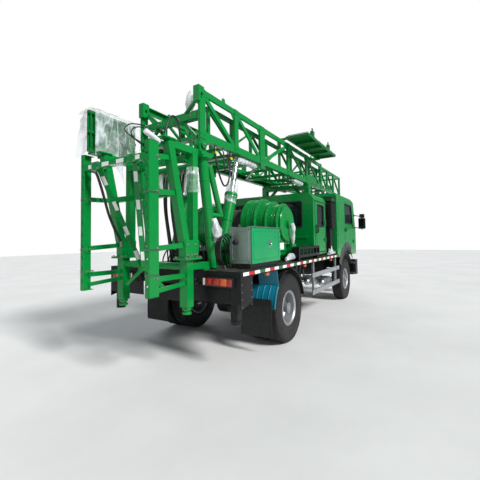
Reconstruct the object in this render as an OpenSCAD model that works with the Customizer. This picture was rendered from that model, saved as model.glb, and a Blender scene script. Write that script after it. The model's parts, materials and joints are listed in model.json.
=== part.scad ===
// Truck-mounted workover rig, parked for the road: a two-axle cab-over truck
// that carries a drawworks, an operator cabin and a two-section lattice mast
// folded forward over them. Millimetres, +X to the front, +Y left, +Z up.
// Inside the modules X counts from the rear axle, and the ground is Z = 0.

/* [Chassis] */
// Distance from the rear axle to the front axle
wheelbase = 4200; // [4000:50:4400]
// Width over the two chassis rails
frame_w = 860; // [820:10:900]
// Height of the underside of the chassis rails
rail_z = 790; // [770:5:810]
// Height of a chassis rail
rail_h = 250; // [220:5:270]
// Width of a chassis rail's flange
rail_flange = 80; // [60:5:90]
// Plate thickness of the chassis rails
rail_t = 9; // [6:1:12]

/* [Wheels] */
// Outer diameter of a tyre
tyre_d = 1080; // [1040:10:1100]
// Width of a tyre
tyre_w = 270; // [250:5:280]
// Outer diameter of a wheel rim
rim_d = 560; // [540:10:580]
// Gap between the two tyres of a twin wheel
twin_gap = 50; // [40:5:60]
// Width over the rear tyres
rear_w = 2434; // [2400:2:2450]
// Width over the front tyres
front_w = 2272; // [2240:2:2290]
// Diameter of the wheel spindles
spindle_d = 90; // [70:5:100]
// Distance between the two steering pins
kingpin_w = 1600; // [1580:10:1620]

/* [Deck] */
// Height of the deck's top
deck_z = 1260; // [1250:5:1280]
// Depth of the deck's edge
deck_t = 70; // [60:5:90]
// Width of the deck
deck_w = 2440; // [2420:10:2460]
// Distance from the rear axle back to the deck's rear edge
deck_rear = 1560; // [1550:10:1570]
// Distance from the rear axle forward to the deck's front edge
deck_front = 3120; // [3000:10:3130]
// Depth of the skirt plates under the deck's rear corners
skirt_h = 400; // [360:10:420]

/* [Cab] */
// Distance from the front axle back to the cab's rear wall
cab_back = 1000; // [980:5:1020]
// Distance from the front axle forward to the cab's nose
cab_nose = 1200; // [1180:10:1250]
// Width of the cab
cab_w = 2360; // [2340:10:2400]
// Height of the cab's floor
cab_floor_z = 1180; // [1170:5:1200]
// Height of the cab's roof
cab_roof_z = 2790; // [2760:10:2800]
// Thickness of the cab's walls and doors
cab_wall = 45; // [35:5:55]
// Radius of the front wheel arches
arch_r = 780; // [760:10:800]
// Gap round a door
door_gap = 6; // [5:1:8]
// How far the open cab doors are hinged ahead of the front axle
door_front = 880; // [860:10:900]

/* [Operator cabin] */
// Distance from the rear axle to the cabin's rear wall
house_x = 1680; // [1660:10:1700]
// Length of the cabin
house_len = 900; // [880:10:920]
// Width of the cabin
house_w = 2160; // [2120:10:2180]
// Height of the cabin's roof
house_roof_z = 2640; // [2600:10:2680]
// Thickness of the cabin's walls
house_wall = 40; // [30:5:50]
// Radius of the cabin's roof edges
house_r = 170; // [120:10:200]

/* [Drawworks] */
// Distance from the rear axle to the drum's shaft
drum_x = 380; // [360:10:400]
// Height of the drum's shaft
drum_z = 1920; // [1900:10:1930]
// Radius of the largest guard
guard_r = 460; // [440:10:470]
// Diameter of the drum's shaft
shaft_d = 90; // [70:5:100]

/* [Cabinet] */
// Length of the electrical cabinet
cabinet_len = 900; // [860:10:940]
// Depth of the electrical cabinet
cabinet_deep = 350; // [320:10:380]
// Height of the electrical cabinet
cabinet_h = 490; // [450:10:520]

/* [Mast] */
// Distance from the rear axle back to the mast's hinge
pivot_back = 1470; // [1465:1:1475]
// Height of the mast's hinge
pivot_z = 2950; // [2945:1:2960]
// Diameter of the mast's hinge pins
pivot_d = 60; // [50:2:64]
// Width of the lower mast section
mast_w = 1160; // [1150:2:1170]
// Height of the lower mast section
mast_h = 710; // [690:10:730]
// Length of the lower mast section
mast_len = 5560; // [5400:20:5700]
// Width of a mast chord
chord_w = 80; // [70:5:90]
// Height of a lower mast chord
chord_h = 120; // [100:5:130]
// Gap between the two mast sections
nest_gap = 40; // [30:5:50]
// Width of an upper section's chord
inner_chord = 60; // [50:5:70]
// How far the upper section stands out past the lower one
crown_len = 2350; // [2200:50:2500]
// Radius of the crown sheaves
sheave_r = 150; // [130:5:170]
// Length of the racking board
board_len = 2150; // [2000:50:2200]
// Width of the racking board
board_w = 500; // [450:10:550]

/* [Mast rams] */
// Distance from the rear axle back to the rams' lower pins
ram_back = 880; // [870:5:890]
// Height of the rams' lower pins
ram_z = 1430; // [1420:5:1440]
// Distance from the mast's hinge forward to the rams' upper eyes
ram_reach = 1090; // [1080:5:1100]
// Diameter of a ram's barrel
barrel_d = 180; // [160:5:190]
// Diameter of a ram's middle stage
sleeve_d = 140; // [120:5:145]
// Diameter of a ram's rod
rod_d = 90; // [80:5:100]
// Length of a ram's barrel
barrel_len = 1030; // [1000:10:1060]

/* [Tail frame] */
// Distance between the tail frame's two side planes
tail_w = 1180; // [1170:2:1200]
// Distance from the rear axle back to the perforated channels
channel_back = 2395; // [2380:5:2420]
// Height of the channels' lower ends
channel_z0 = 1040; // [1000:10:1080]
// Length of the channels
channel_len = 1735; // [1650:5:1780]
// Width of a channel
channel_w = 140; // [120:5:150]
// Distance between the channels' pin holes
hole_pitch = 147; // [140:1:150]
// Diameter of the channels' pin holes
hole_d = 30; // [24:2:36]
// Number of pin holes in each channel
hole_count = 11; // [8:1:11]
// Width of the tail frame's square arms
arm_w = 100; // [80:5:110]
// Width of the tail frame's square columns
column_w = 120; // [110:5:130]
// Diameter of the screw feet
foot_d = 76; // [60:2:80]
// Diameter of the thick round gantry legs
leg_d = 140; // [120:5:160]

/* [Platform] */
// Distance from the middle to the folded platform's inner face
platform_y = 640; // [630:5:660]
// Length of the folded platform
platform_len = 800; // [700:10:850]
// Height of the folded platform
platform_h = 640; // [600:10:680]

/* [Hidden] */

// Colours of the real machine
green = "#12a34a";
dark_green = "#0c8a3d";
black = "#222426";
grey = "#6b6e70";
steel = "#a8adb0";
silver = "#cfd3d6";
rubber = "#2b2c2e";
cyan = "#1f9fc4";
red = "#b3201c";
glass = "#30383c";

// Clearances
run_gap = 0.3;       // a pin or a shaft in its bore, and a seat between bodies
swing_gap = 8;       // past a piece that moves
big = 4000;          // longer than any cut needs

// Places worked out from the driving sizes
tail_end = -channel_back - channel_w/2;
mast_x0 = -pivot_back - 40;
mast_x1 = mast_x0 + mast_len;
crown_x = mast_x1 + crown_len;
middle_x = (tail_end + crown_x)/2;
front_x = wheelbase;
cab_x0 = front_x - cab_back;
cab_x1 = front_x + cab_nose;
rail_top = rail_z + rail_h;
deck_low = deck_z - deck_t;
tyre_r = tyre_d/2;
axle_z = tyre_r;
rear_tyre_y = [rear_w/2 - tyre_w/2, rear_w/2 - tyre_w*3/2 - twin_gap];
front_tyre_y = front_w/2 - tyre_w/2;
kingpin_y = kingpin_w/2;
spring_y = frame_w/2 - rail_flange/2;
house_x1 = house_x + house_len;
house_z0 = deck_z + 50;
mast_z0 = pivot_z + 90;
mast_z1 = mast_z0 + mast_h;
chord_y = mast_w/2 - chord_w;
inner_y = chord_y - nest_gap;
inner_z0 = mast_z0 + chord_h;
inner_z1 = mast_z1 - chord_h - nest_gap + 50;
pivot_x = -pivot_back;
tail_y = tail_w/2;
ram_x = -ram_back;
ram_eye = [pivot_x + ram_reach, pivot_z + 35];
ram_vec = [ram_eye[0] - ram_x, ram_eye[1] - ram_z];
ram_rest = norm(ram_vec);
ram_tilt = atan2(ram_vec[0], ram_vec[1]);
ram_y = chord_y - 30;
ram_eye_r = 45;
ram_eye_w = 50;

// Helpers

// Moves a piece from the rear axle's X to the part's own middle
module placed() translate([-middle_x, 0, 0]) children();

// A piece and its mirror image on the other side
module both_sides() {
    children();
    mirror([0, 1, 0]) children();
}

// Side 1 is left, side -1 is right
module on_side(side) {
    if (side > 0) children();
    else mirror([0, 1, 0]) children();
}

// A side outline of X and Z points, between two Y planes
module plate_xz(points, y0, y1)
    translate([0, y1, 0]) rotate([90, 0, 0]) linear_extrude(y1 - y0) polygon(points);

// A front outline of Y and Z points, between two X planes
module plate_yz(points, x0, x1)
    translate([x0, 0, 0]) rotate([90, 0, 90]) linear_extrude(x1 - x0) polygon(points);

// A box by its low and high corners
module block(a, b) translate(a) cube(b - a);

// A rectangular bar from p to q, w across and d in its upright plane
module strut(p, q, w, d) {
    v = q - p;
    len = norm(v);
    translate(p) rotate([0, acos(v[2]/len), atan2(v[1], v[0])])
        translate([-d/2, -w/2, 0]) cube([d, w, len]);
}

// A round bar from p to q
module tube(p, q, r, fn = 32) {
    v = q - p;
    len = norm(v);
    translate(p) rotate([0, acos(v[2]/len), atan2(v[1], v[0])]) cylinder(r = r, h = len, $fn = fn);
}

// A round bar along Y
module y_bar(x, z, r, y0, y1, fn = 48)
    translate([x, y0, z]) rotate([-90, 0, 0]) cylinder(r = r, h = y1 - y0, $fn = fn);

// A C section along X, its web outside
module c_rail(x0, x1, y_out, z0, h, flange, t) {
    difference() {
        block([x0, y_out - flange, z0], [x1, y_out, z0 + h]);
        block([x0 - 1, y_out - flange - 1, z0 + t], [x1 + 1, y_out - t, z0 + h - t]);
    }
}

// Points of an arc, for outlines
function arc(cx, cz, r, a0, a1, n) =
    [for (k = [0:n]) [cx + r*cos(a0 + (a1 - a0)*k/n), cz + r*sin(a0 + (a1 - a0)*k/n)]];

// Chassis

cross_x = [-1300, -560, 620, 1500, 2500];
rail_end = front_x + 1000;

module chassis_frame() color(black) placed() {
    both_sides() c_rail(-deck_rear + 60, rail_end, frame_w/2, rail_z, rail_h, rail_flange, rail_t);
    for (x = cross_x)
        block([x - 50, -frame_w/2 + rail_t/2, rail_z + 50], [x + 50, frame_w/2 - rail_t/2, rail_top - 50]);
    block([-deck_rear + 60, -frame_w/2 + rail_t/2, rail_z + 20],
          [-deck_rear + 120, frame_w/2 - rail_t/2, rail_top - 20]);
    block([rail_end - 80, -frame_w/2 + rail_t/2, rail_z + 20], [rail_end, frame_w/2 - rail_t/2, rail_top - 20]);
    both_sides() block([-deck_rear + 60, frame_w/2 - rail_flange, rail_top],
                       [deck_front, frame_w/2, deck_low]);
}

// A pack of leaf springs over the axle, its ends in hangers under the rail
leaf_t = 13;
module leaf_pack(x, seat_z, half, leaves) {
    bow_r = (half*half + 60*60)/(2*60);
    for (k = [0:leaves - 1]) {
        reach = half*(1 - 0.09*(leaves - 1 - k));
        a = asin(reach/bow_r);
        r = bow_r - leaf_t*k;
        plate_xz(concat(arc(x, seat_z + bow_r, r, 270 - a, 270 + a, 10),
                        arc(x, seat_z + bow_r, r - leaf_t - 0.5, 270 + a, 270 - a, 10)),
                 spring_y - 38, spring_y + 38);
    }
}

module spring_set(x, half, leaves) {
    seat_z = axle_z + 62;
    top_z = seat_z + leaves*leaf_t;
    leaf_pack(x, seat_z, half, leaves);
    block([x - 75, spring_y - 55, axle_z + 20], [x + 75, spring_y + 55, seat_z + 14]);
    block([x - 60, spring_y - 45, top_z - 8], [x + 60, spring_y + 45, top_z + 22]);
    for (s = [-1, 1], c = [-1, 1])
        block([x + s*52 - 8, spring_y + c*47 - 8, axle_z - 20], [x + s*52 + 8, spring_y + c*47 + 8, top_z + 30]);
    for (s = [-1, 1])
        plate_xz([[x + s*(half - 40), seat_z + 30], [x + s*(half + 30), seat_z + 40],
                  [x + s*(half + 60), rail_z], [x + s*(half - 70), rail_z]],
                 spring_y - 44, spring_y + 44);
}

module rear_axle() color(black) placed() {
    both_sides() {
        y_bar(0, axle_z, 70, 0, rear_hub_y0 - 6);
        y_bar(0, axle_z, spindle_d/2, 0, rear_w/2 - 60);
        spring_set(0, 620, 9);
    }
    y_bar(0, axle_z, 190, -110, 110);
    translate([0, 0, axle_z]) rotate([0, 90, 0]) cylinder(r1 = 150, r2 = 70, h = 330, $fn = 48);
    translate([0, 0, axle_z]) sphere(r = 175, $fn = 48);
}

module front_axle() color(black) placed() {
    both_sides() {
        difference() {
            union() {
                strut([front_x, 0, axle_z - 60], [front_x, spring_y + 60, axle_z - 60], 100, 90);
                strut([front_x, spring_y + 40, axle_z - 60], [front_x, kingpin_y, axle_z], 80, 80);
                translate([front_x, kingpin_y, axle_z - 55]) cylinder(r = 46, h = 110, $fn = 48);
                block([front_x - 75, spring_y - 55, axle_z - 60], [front_x + 75, spring_y + 55, axle_z + 30]);
                spring_set(front_x, 560, 8);
            }
            translate([front_x, kingpin_y, axle_z - 200]) cylinder(r = 20 + run_gap, h = 400, $fn = 48);
        }
    }
}

module engine_block() color(grey) placed() {
    block([front_x - 380, -310, rail_z - 60], [front_x + 560, 310, cab_floor_z - 60]);
    block([front_x - 340, -200, rail_z - 150], [front_x - 130, 200, rail_z - 59]);
    both_sides() for (x = [front_x - 300, front_x + 400])
        block([x, 300, rail_top], [x + 80, frame_w/2, rail_top + 25]);
    tube([front_x - 380, 0, rail_z + 60], [front_x - 900, 0, rail_z + 60], 130);
    tube([front_x - 899, 0, rail_z + 60], [335, 0, axle_z], 45);
}

module fuel_tank() color(silver) placed() {
    x0 = 1250;
    x1 = 2350;
    y1 = guard_y - 125;
    difference() {
        block([x0, 480, 560], [x1, y1, 1080]);
        for (c = [[480, 560], [y1, 560], [480, 1080], [y1, 1080]])
            translate([x0 - 1, c[0], c[1]]) rotate([45, 0, 0])
                translate([0, -40, -40]) cube([x1 - x0 + 2, 80, 80]);
    }
    for (x = [x0 + 180, x1 - 180])
        block([x - 30, frame_w/2, rail_z + 20], [x + 30, 480, 1080]);
    for (x = [x0 + 180, x1 - 180])
        block([x - 30, 470, 1079], [x + 30, y1 - 20, 1088]);
    tube([x1 - 150, y1 - 180, 1060], [x1 - 150, y1 - 180, 1110], 50);
}

air_tank_len = 560;
module air_tanks() color(silver) placed() {
    for (k = [0:2]) {
        y = -guard_y + 165 + k*170;
        z = 660 + (k == 1 ? 12 : 0);
        tube([2280, y, z], [2280 + air_tank_len, y, z], 78, 48);
        translate([2280, y, z]) sphere(r = 78, $fn = 48);
        translate([2280 + air_tank_len, y, z]) sphere(r = 78, $fn = 48);
    }
    for (x = [2380, 2740]) {
        block([x - 20, -guard_y + 105, 720], [x + 20, -frame_w/2, 760]);
        block([x - 20, -frame_w/2 - 30, 720], [x + 20, -frame_w/2, 900]);
    }
}

guard_x0 = 1180;
guard_x1 = 3200;
guard_y = deck_w/2 - 15;
guard_rails = [[560, 650], [890, 980]];
guard_posts = [1330, 2980];
module guard_side() {
    for (z = guard_rails) {
        difference() {
            block([guard_x0, guard_y - 26, z[0]], [guard_x1, guard_y, z[1]]);
            block([guard_x0 - 1, guard_y - 27, z[0] + 6], [guard_x1 + 1, guard_y - 6, z[1] - 6]);
        }
    }
    for (x = guard_posts)
        block([x - 22, guard_y - 66, guard_rails[0][0]], [x + 22, guard_y - 26, deck_low]);
}

module side_guards() color(silver) placed() both_sides() guard_side();

// Deck with its edge channels and cross bearers
bearer_x = [-1400, -900, -300, 300, 900, 1500, 2100, 2700];
module deck() color(black) placed() {
    block([-deck_rear, -deck_w/2, deck_z - 8], [deck_front, deck_w/2, deck_z]);
    both_sides() block([-deck_rear, deck_w/2 - 50, deck_low], [deck_front, deck_w/2, deck_z - 7]);
    for (x = [-deck_rear, deck_front - 50])
        block([x, -deck_w/2, deck_low], [x + 50, deck_w/2, deck_z - 7]);
    for (x = bearer_x)
        block([x - 30, -deck_w/2 + 49, deck_low], [x + 30, deck_w/2 - 49, deck_z - 7]);
}

skirt_x1 = -deck_rear + 300;
jack_y = deck_w/2 - 130;
jack_x = -deck_rear + 95;
module tail_box() color(black) placed() {
    low = deck_low - skirt_h + 70;
    both_sides() {
        plate_xz([[-deck_rear, low - 70], [skirt_x1, low], [skirt_x1, deck_low], [-deck_rear, deck_low]],
                 deck_w/2 - 8, deck_w/2);
        block([-deck_rear, frame_w/2 + 40, low], [-deck_rear + 8, deck_w/2 - 7, deck_low]);
        block([skirt_x1 - 8, frame_w/2 + 40, deck_low - 160], [skirt_x1, deck_w/2 - 7, deck_low]);
        difference() {
            block([jack_x - 60, jack_y - 60, low + 60], [jack_x + 60, jack_y + 60, deck_low]);
            block([jack_x - 50 - run_gap, jack_y - 50 - run_gap, low],
                  [jack_x + 50 + run_gap, jack_y + 50 + run_gap, deck_low - 20]);
        }
        block([-deck_rear + 7, jack_y - 30, deck_low - 120], [jack_x - 59, jack_y + 30, deck_low]);
    }
    block([-deck_rear, -frame_w/2 - 41, deck_low - 130], [-deck_rear + 60, frame_w/2 + 41, deck_low]);
}

lamp_y = [deck_w/2 - 560, deck_w/2 - 90];
lamp_z = [1070, 1180];
module lamps() placed() {
    both_sides() {
        color(black) block([-deck_rear - 30, lamp_y[0], lamp_z[0]], [-deck_rear, lamp_y[1], lamp_z[1]]);
        color(red) for (k = [0:4]) {
            w = (lamp_y[1] - lamp_y[0] - 20)/5;
            block([-deck_rear - 44, lamp_y[0] + 13 + k*w, lamp_z[0] + 12],
                  [-deck_rear - 29, lamp_y[0] + 7 + (k + 1)*w, lamp_z[1] - 12]);
        }
        color("orange") for (x = [-790, 760, 2500])
            block([x - 45, deck_w/2 - 45, deck_low - 52], [x + 45, deck_w/2 - 5, deck_low]);
    }
}

// Plastic mudguards round the rear twins and the flaps behind them
mud_r = tyre_r + 90;
mud_y = [rear_tyre_y[1] - tyre_w/2 - 10, rear_w/2 + 8];
module mudguards() placed() {
    both_sides() {
        color(black) plate_xz(concat(arc(0, axle_z, mud_r, 12, 78, 10), arc(0, axle_z, mud_r - 12, 78, 12, 10)),
                              mud_y[0], mud_y[1]);
        color(cyan) plate_xz(concat(arc(0, axle_z, mud_r, 102, 172, 10), arc(0, axle_z, mud_r - 12, 172, 102, 10)),
                             mud_y[0] + 160, mud_y[1]);
        color(black) block([-760, mud_y[0] + 120, 250], [-752, mud_y[1] + 20, deck_low - 400]);
        color(black) block([-752, mud_y[0] + 160, axle_z + 110], [-mud_r + 12, mud_y[1] - 30, axle_z + 150]);
        color(black) {
            for (x = [-300, 300])
                block([x - 20, mud_y[0] + 170, axle_z + 535], [x + 20, mud_y[0] + 210, deck_low]);
            block([-800, mud_y[0] + 170, axle_z + 100], [-760, mud_y[0] + 210, deck_low]);
            block([-925, mud_y[0] + 170, deck_low - 40], [-760, mud_y[0] + 210, deck_low]);
        }
    }
}

// Cab

// Side outline of the cab, drawn in by o
function cab_side(o) = [
    [cab_x0 + o, cab_floor_z + o], [cab_x0 + o, cab_roof_z - 60 - o/2], [cab_x0 + 50 + o/2, cab_roof_z - o],
    [cab_x1 - 520, cab_roof_z - o], [cab_x1 - 260 - o/2, cab_roof_z - 90 - o],
    [cab_x1 - 40 - o, cab_roof_z - 820], [cab_x1 - o, cab_roof_z - 900], [cab_x1 - o, cab_floor_z + o]];

// Front outline of the cab: a box whose upper corners are rounded
function cab_section(o) = concat(
    [[-cab_w/2 + o, 0]],
    arc(-cab_w/2 + 190, cab_roof_z - 150, 190 - o, 180, 90, 6),
    arc(cab_w/2 - 190, cab_roof_z - 150, 190 - o, 90, 0, 6),
    [[cab_w/2 - o, 0]]);

module cab_solid(o) intersection() {
    plate_xz(cab_side(o), -cab_w/2 + o, cab_w/2 - o);
    plate_yz([for (p = cab_section(o)) [p[0], p[1] + 40]], cab_x0, cab_x1);
}

belt_z = 2040;
window_z = 2610;
door_x0 = front_x - 220;
door_x1 = front_x + door_front;
door_outline = [[door_x0, cab_floor_z + 60], [door_x1, cab_floor_z + 60], [door_x1, belt_z],
                [door_x1 - 190, window_z + 30], [door_x0, window_z + 30]];
door_window = [[door_x0 + 90, belt_z + 20], [door_x1 - 70, belt_z + 20], [door_x1 - 240, window_z - 30],
               [door_x0 + 90, window_z - 30]];
screen_y = cab_w/2 - 130;

// The door's prism; g draws its outline in
module door_prism(side, g) {
    y0 = side > 0 ? cab_w/2 - cab_wall - 60 : -cab_w/2 - 60;
    difference() {
        plate_xz([for (p = door_outline) [p[0] + (p[0] < front_x + 200 ? g : -g),
                                          p[1] + (p[1] < belt_z - 300 ? g : (p[1] > belt_z ? -g : 0))]],
                 y0, y0 + cab_wall + 120);
        y_bar(front_x, axle_z, arch_r + 75 + g, -big, big, 96);
    }
}

module screen_cut() block([cab_x1 - 330, -screen_y, cab_roof_z - 790], [cab_x1 + 60, screen_y, cab_roof_z - 130]);
module rear_window_cut() both_sides() block([cab_x0 - 60, 220, belt_z + 60], [cab_x0 + 120, 820, window_z - 60]);

hinge_z = [cab_floor_z + 320, cab_floor_z + 760];
hinge_out = 11;
module hinge_post(x, y, z0, h) {
    translate([x, y, z0]) cylinder(r = 5, h = h, $fn = 24);
    for (z = [z0, z0 + h - 12]) translate([x, y, z]) cylinder(r = 10, h = 12, $fn = 24);
}
module hinge_sleeve(x, y, z0, h) difference() {
    translate([x, y, z0 + 12 + run_gap]) cylinder(r = 10, h = h - 24 - 2*run_gap, $fn = 24);
    translate([x, y, z0]) cylinder(r = 5 + run_gap, h = h, $fn = 24);
}

module cab_shell() color(green) placed() {
    difference() {
        cab_solid(0);
        difference() {
            cab_solid(cab_wall);
            block([cab_x0, -big, cab_floor_z], [cab_x1, big, cab_floor_z + cab_wall]);
        }
        door_prism(1, 0);
        door_prism(-1, 0);
        screen_cut();
        rear_window_cut();
        y_bar(front_x, axle_z, arch_r, -big, -frame_w/2 - 60, 96);
        y_bar(front_x, axle_z, arch_r, frame_w/2 + 60, big, 96);
    }
    both_sides() {
        // Wheel well: the curved cover under the floor, over the tyre
        plate_xz(concat(arc(front_x, axle_z, arch_r + 36, 56, 124, 12), arc(front_x, axle_z, arch_r + 8, 124, 56, 12)),
                 frame_w/2 + 60, cab_w/2 - 20);
        for (z = hinge_z) {
            hinge_post(door_x1 + 4, cab_w/2 + hinge_out, z, 110);
            for (k = [0, 98])
                block([door_x1 + 4, cab_w/2 - 1, z + k], [door_x1 + 40, cab_w/2 + hinge_out + 6, z + k + 12]);
        }
    }
    // Cab mounts on the chassis rails
    both_sides() for (x = [cab_x0 + 60, cab_x1 - 260])
        block([x, frame_w/2 - rail_flange, rail_top], [x + 90, frame_w/2, cab_floor_z + 2]);
}

module cab_pane() difference() {
    cab_solid(cab_wall/2 - 3);
    cab_solid(cab_wall/2 + 3);
}

module window_glass() color(glass) placed() {
    intersection() {
        cab_pane();
        screen_cut();
    }
    both_sides() block([cab_x0 + 18, 220, belt_z + 60], [cab_x0 + 24, 820, window_z - 60]);
    for (w = house_windows)
        block([house_x + 17, w[0], house_win_z[0]], [house_x + 23, w[1], house_win_z[1]]);
    block([house_x1 - 23, -500, house_win_z[0]], [house_x1 - 17, 500, house_win_z[1]]);
    block([cabin_door_x[0] + 110, house_w/2 - 23, house_win_z[0] + 20],
          [cabin_door_x[1] - 110, house_w/2 - 17, house_win_z[1] - 40]);
}

module seat(x, y) {
    block([x - 240, y - 240, cab_floor_z + 330], [x + 240, y + 240, cab_floor_z + 470]);
    plate_xz([[x - 250, cab_floor_z + 440], [x - 130, cab_floor_z + 440],
              [x - 240, cab_floor_z + 1060], [x - 340, cab_floor_z + 1060]], y - 230, y + 230);
    plate_xz([[x - 322, cab_floor_z + 1059], [x - 250, cab_floor_z + 1059],
              [x - 275, cab_floor_z + 1220], [x - 340, cab_floor_z + 1220]], y - 130, y + 130);
}

module cab_interior() color(black) placed() {
    inner_nose = cab_x1 - cab_wall;
    dash_y = cab_w/2 - cab_wall - 10;
    for (y = [-520, 520]) seat(front_x + 60, y);
    // Hump over the engine, with the seats' base across it
    block([front_x - 480, -240, cab_floor_z + cab_wall], [front_x + 700, 240, cab_floor_z + 330]);
    block([front_x - 130, -485, cab_floor_z + cab_wall], [front_x + 250, 485, cab_floor_z + 331]);
    plate_xz([[inner_nose - 360, cab_floor_z + 520], [inner_nose - 300, belt_z - 90], [inner_nose - 35, belt_z - 90],
              [inner_nose, belt_z - 150], [inner_nose, cab_floor_z + 500]], -dash_y, dash_y);
    // Steering column and wheel
    tube([inner_nose - 300, 520, belt_z - 260], [inner_nose - 520, 520, belt_z - 90], 25);
    translate([inner_nose - 520, 520, belt_z - 90]) rotate([0, -38, 0]) {
        rotate_extrude($fn = 48) translate([200, 0]) circle(r = 15, $fn = 16);
        cylinder(r = 40, h = 20, $fn = 24);
        for (a = [90, 210, 330]) rotate([0, 0, a]) translate([0, -15, 0]) cube([192, 30, 12]);
    }
}

bumper_z = [560, 1000];
module cab_front() color(black) placed() {
    // Bumper with lamp openings, the panel above it and the ribbed grille
    difference() {
        block([cab_x1 - 160, -cab_w/2 - 10, bumper_z[0]], [cab_x1 + 90, cab_w/2 + 10, bumper_z[1]]);
        block([cab_x1 - 170, -cab_w/2 + 60, bumper_z[0] - 1], [cab_x1 - 20, cab_w/2 - 60, bumper_z[1] + 1]);
        both_sides() block([cab_x1 + 40, 640, 730], [cab_x1 + 100, 1060, 900]);
        block([cab_x1 - 60, -420, 690], [cab_x1 + 100, 420, 880]);
    }
    both_sides() block([cab_x1 + 41, 660, 745], [cab_x1 + 70, 1040, 885]);
    for (z = [720:40:850]) block([cab_x1 + 20, -421, z], [cab_x1 + 60, 421, z + 16]);
    for (z = [cab_floor_z + 120:70:cab_floor_z + 500])
        block([cab_x1, -700, z], [cab_x1 + 26, 700, z + 36]);
    both_sides() block([cab_x1, 640, cab_floor_z + 110], [cab_x1 + 14, 700, cab_floor_z + 510]);
    // Step wells beside the front wheels and the bumper's brackets
    both_sides() {
        block([cab_x1 - 420, cab_w/2 - 230, bumper_z[0] + 20], [cab_x1 - 150, cab_w/2, bumper_z[0] + 60]);
        block([cab_x1 - 420, cab_w/2 - 230, bumper_z[0] + 330], [cab_x1 - 150, cab_w/2, bumper_z[0] + 370]);
        block([cab_x1 - 420, cab_w/2 - 230, bumper_z[0] + 20], [cab_x1 - 159, cab_w/2 - 190, cab_floor_z]);
        block([rail_end, frame_w/2 - 60, rail_z + 60], [cab_x1 - 19, frame_w/2, rail_z + 160]);
    }
}

module mirror_arm() {
    out = cab_w/2 + 190;
    for (base = [[cab_x1 - 200, 2330, 2300], [cab_x1 - 100, 1960, 1960]]) {
        block([base[0], cab_w/2, base[1] - 30], [base[0] + 40, cab_w/2 + 14, base[1] + 30]);
        tube([base[0] + 20, cab_w/2 + 13, base[1]], [cab_x1 + 20, out, base[2]], 12);
    }
    tube([cab_x1 + 20, out, 1900], [cab_x1 + 20, out, 2330], 14);
    block([cab_x1 - 10, out - 95, 1930], [cab_x1 + 40, out + 95, 2250]);
}

module cab_trim() color(black) placed() {
    both_sides() {
        plate_xz(concat(arc(front_x, axle_z, arch_r + 70, 52, 148, 16), arc(front_x, axle_z, arch_r + 2, 148, 52, 16)),
                 cab_w/2, cab_w/2 + 14);
        mirror_arm();
    }
    // Sun visor over the windscreen
    plate_xz([[cab_x1 - 258.5, cab_roof_z - 93], [cab_x1 - 253.5, cab_roof_z - 110], [cab_x1 - 60, cab_roof_z - 170],
              [cab_x1 - 54, cab_roof_z - 155]], -screen_y, screen_y);
}

stack_x = [cab_x0 - 350, cab_x0 - 40];
stack_y = [-1150, -850];
module intake_stack() placed() {
    color(black) {
        difference() {
            block([stack_x[0], stack_y[0], 1900], [stack_x[1], stack_y[1], 2560]);
            for (z = [1960:60:2500]) block([stack_x[0] + 30, stack_y[0] - 1, z], [stack_x[1] - 30, stack_y[0] + 25, z + 30]);
        }
        plate_xz([[stack_x[0] + 40, deck_z], [stack_x[1] - 20, deck_z], [stack_x[1] - 20, 1901], [stack_x[0] + 20, 1901]],
                 stack_y[0] + 50, stack_y[1] - 40);
    }
    color(green) plate_xz([[stack_x[0] - 10, 2559], [stack_x[1] + 10, 2559], [stack_x[1] + 10, 2660],
                           [stack_x[0] + 40, 2660], [stack_x[0] - 10, 2620]], stack_y[0] - 10, stack_y[1] + 10);
}

// Operator cabin

house_windows = [[-820, -280], [280, 820]];
house_win_z = [1915, 2450];
cabin_door_x = [house_x + 130, house_x1 - 60];
cabin_door_z = [house_z0 + 60, 2520];

function house_section(o) = concat(
    [[-house_w/2 + o, house_z0 + o]],
    arc(-house_w/2 + house_r, house_roof_z - house_r, house_r - o, 180, 90, 6),
    arc(house_w/2 - house_r, house_roof_z - house_r, house_r - o, 90, 0, 6),
    [[house_w/2 - o, house_z0 + o]]);

module cabin_shell() color(green) placed() {
    difference() {
        plate_yz(house_section(0), house_x, house_x1);
        plate_yz(house_section(house_wall), house_x + house_wall, house_x1 - house_wall);
        for (w = house_windows)
            block([house_x - 1, w[0], house_win_z[0]], [house_x + house_wall + 1, w[1], house_win_z[1]]);
        block([house_x1 - house_wall - 1, -500, house_win_z[0]], [house_x1 + 1, 500, house_win_z[1]]);
        block([cabin_door_x[0], -house_w/2 - 1, cabin_door_z[0]],
              [cabin_door_x[1], -house_w/2 + house_wall + 1, cabin_door_z[1] - 60]);
        block([cabin_door_x[0] + 110, house_w/2 - house_wall - 1, house_win_z[0] + 20],
              [cabin_door_x[1] - 110, house_w/2 + 1, house_win_z[1] - 40]);
    }
    // Floor runners on the deck, and the bench inside
    both_sides() for (y = [300, 900])
        block([house_x, y - 40, deck_z], [house_x1, y + 40, house_z0 + 1]);
    block([house_x + house_wall - 1, -800, house_z0 + house_wall - 1], [house_x + 400, 800, house_z0 + 420]);
    for (z = [cabin_door_z[0] + 200, cabin_door_z[1] - 560]) {
        hinge_post(cabin_door_x[1] + 4, -house_w/2 - hinge_out, z, 110);
        for (k = [0, 98])
            block([cabin_door_x[1] + 4, -house_w/2 - hinge_out - 6, z + k],
                  [cabin_door_x[1] + 40, -house_w/2 + 1, z + k + 12]);
    }
}

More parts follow.
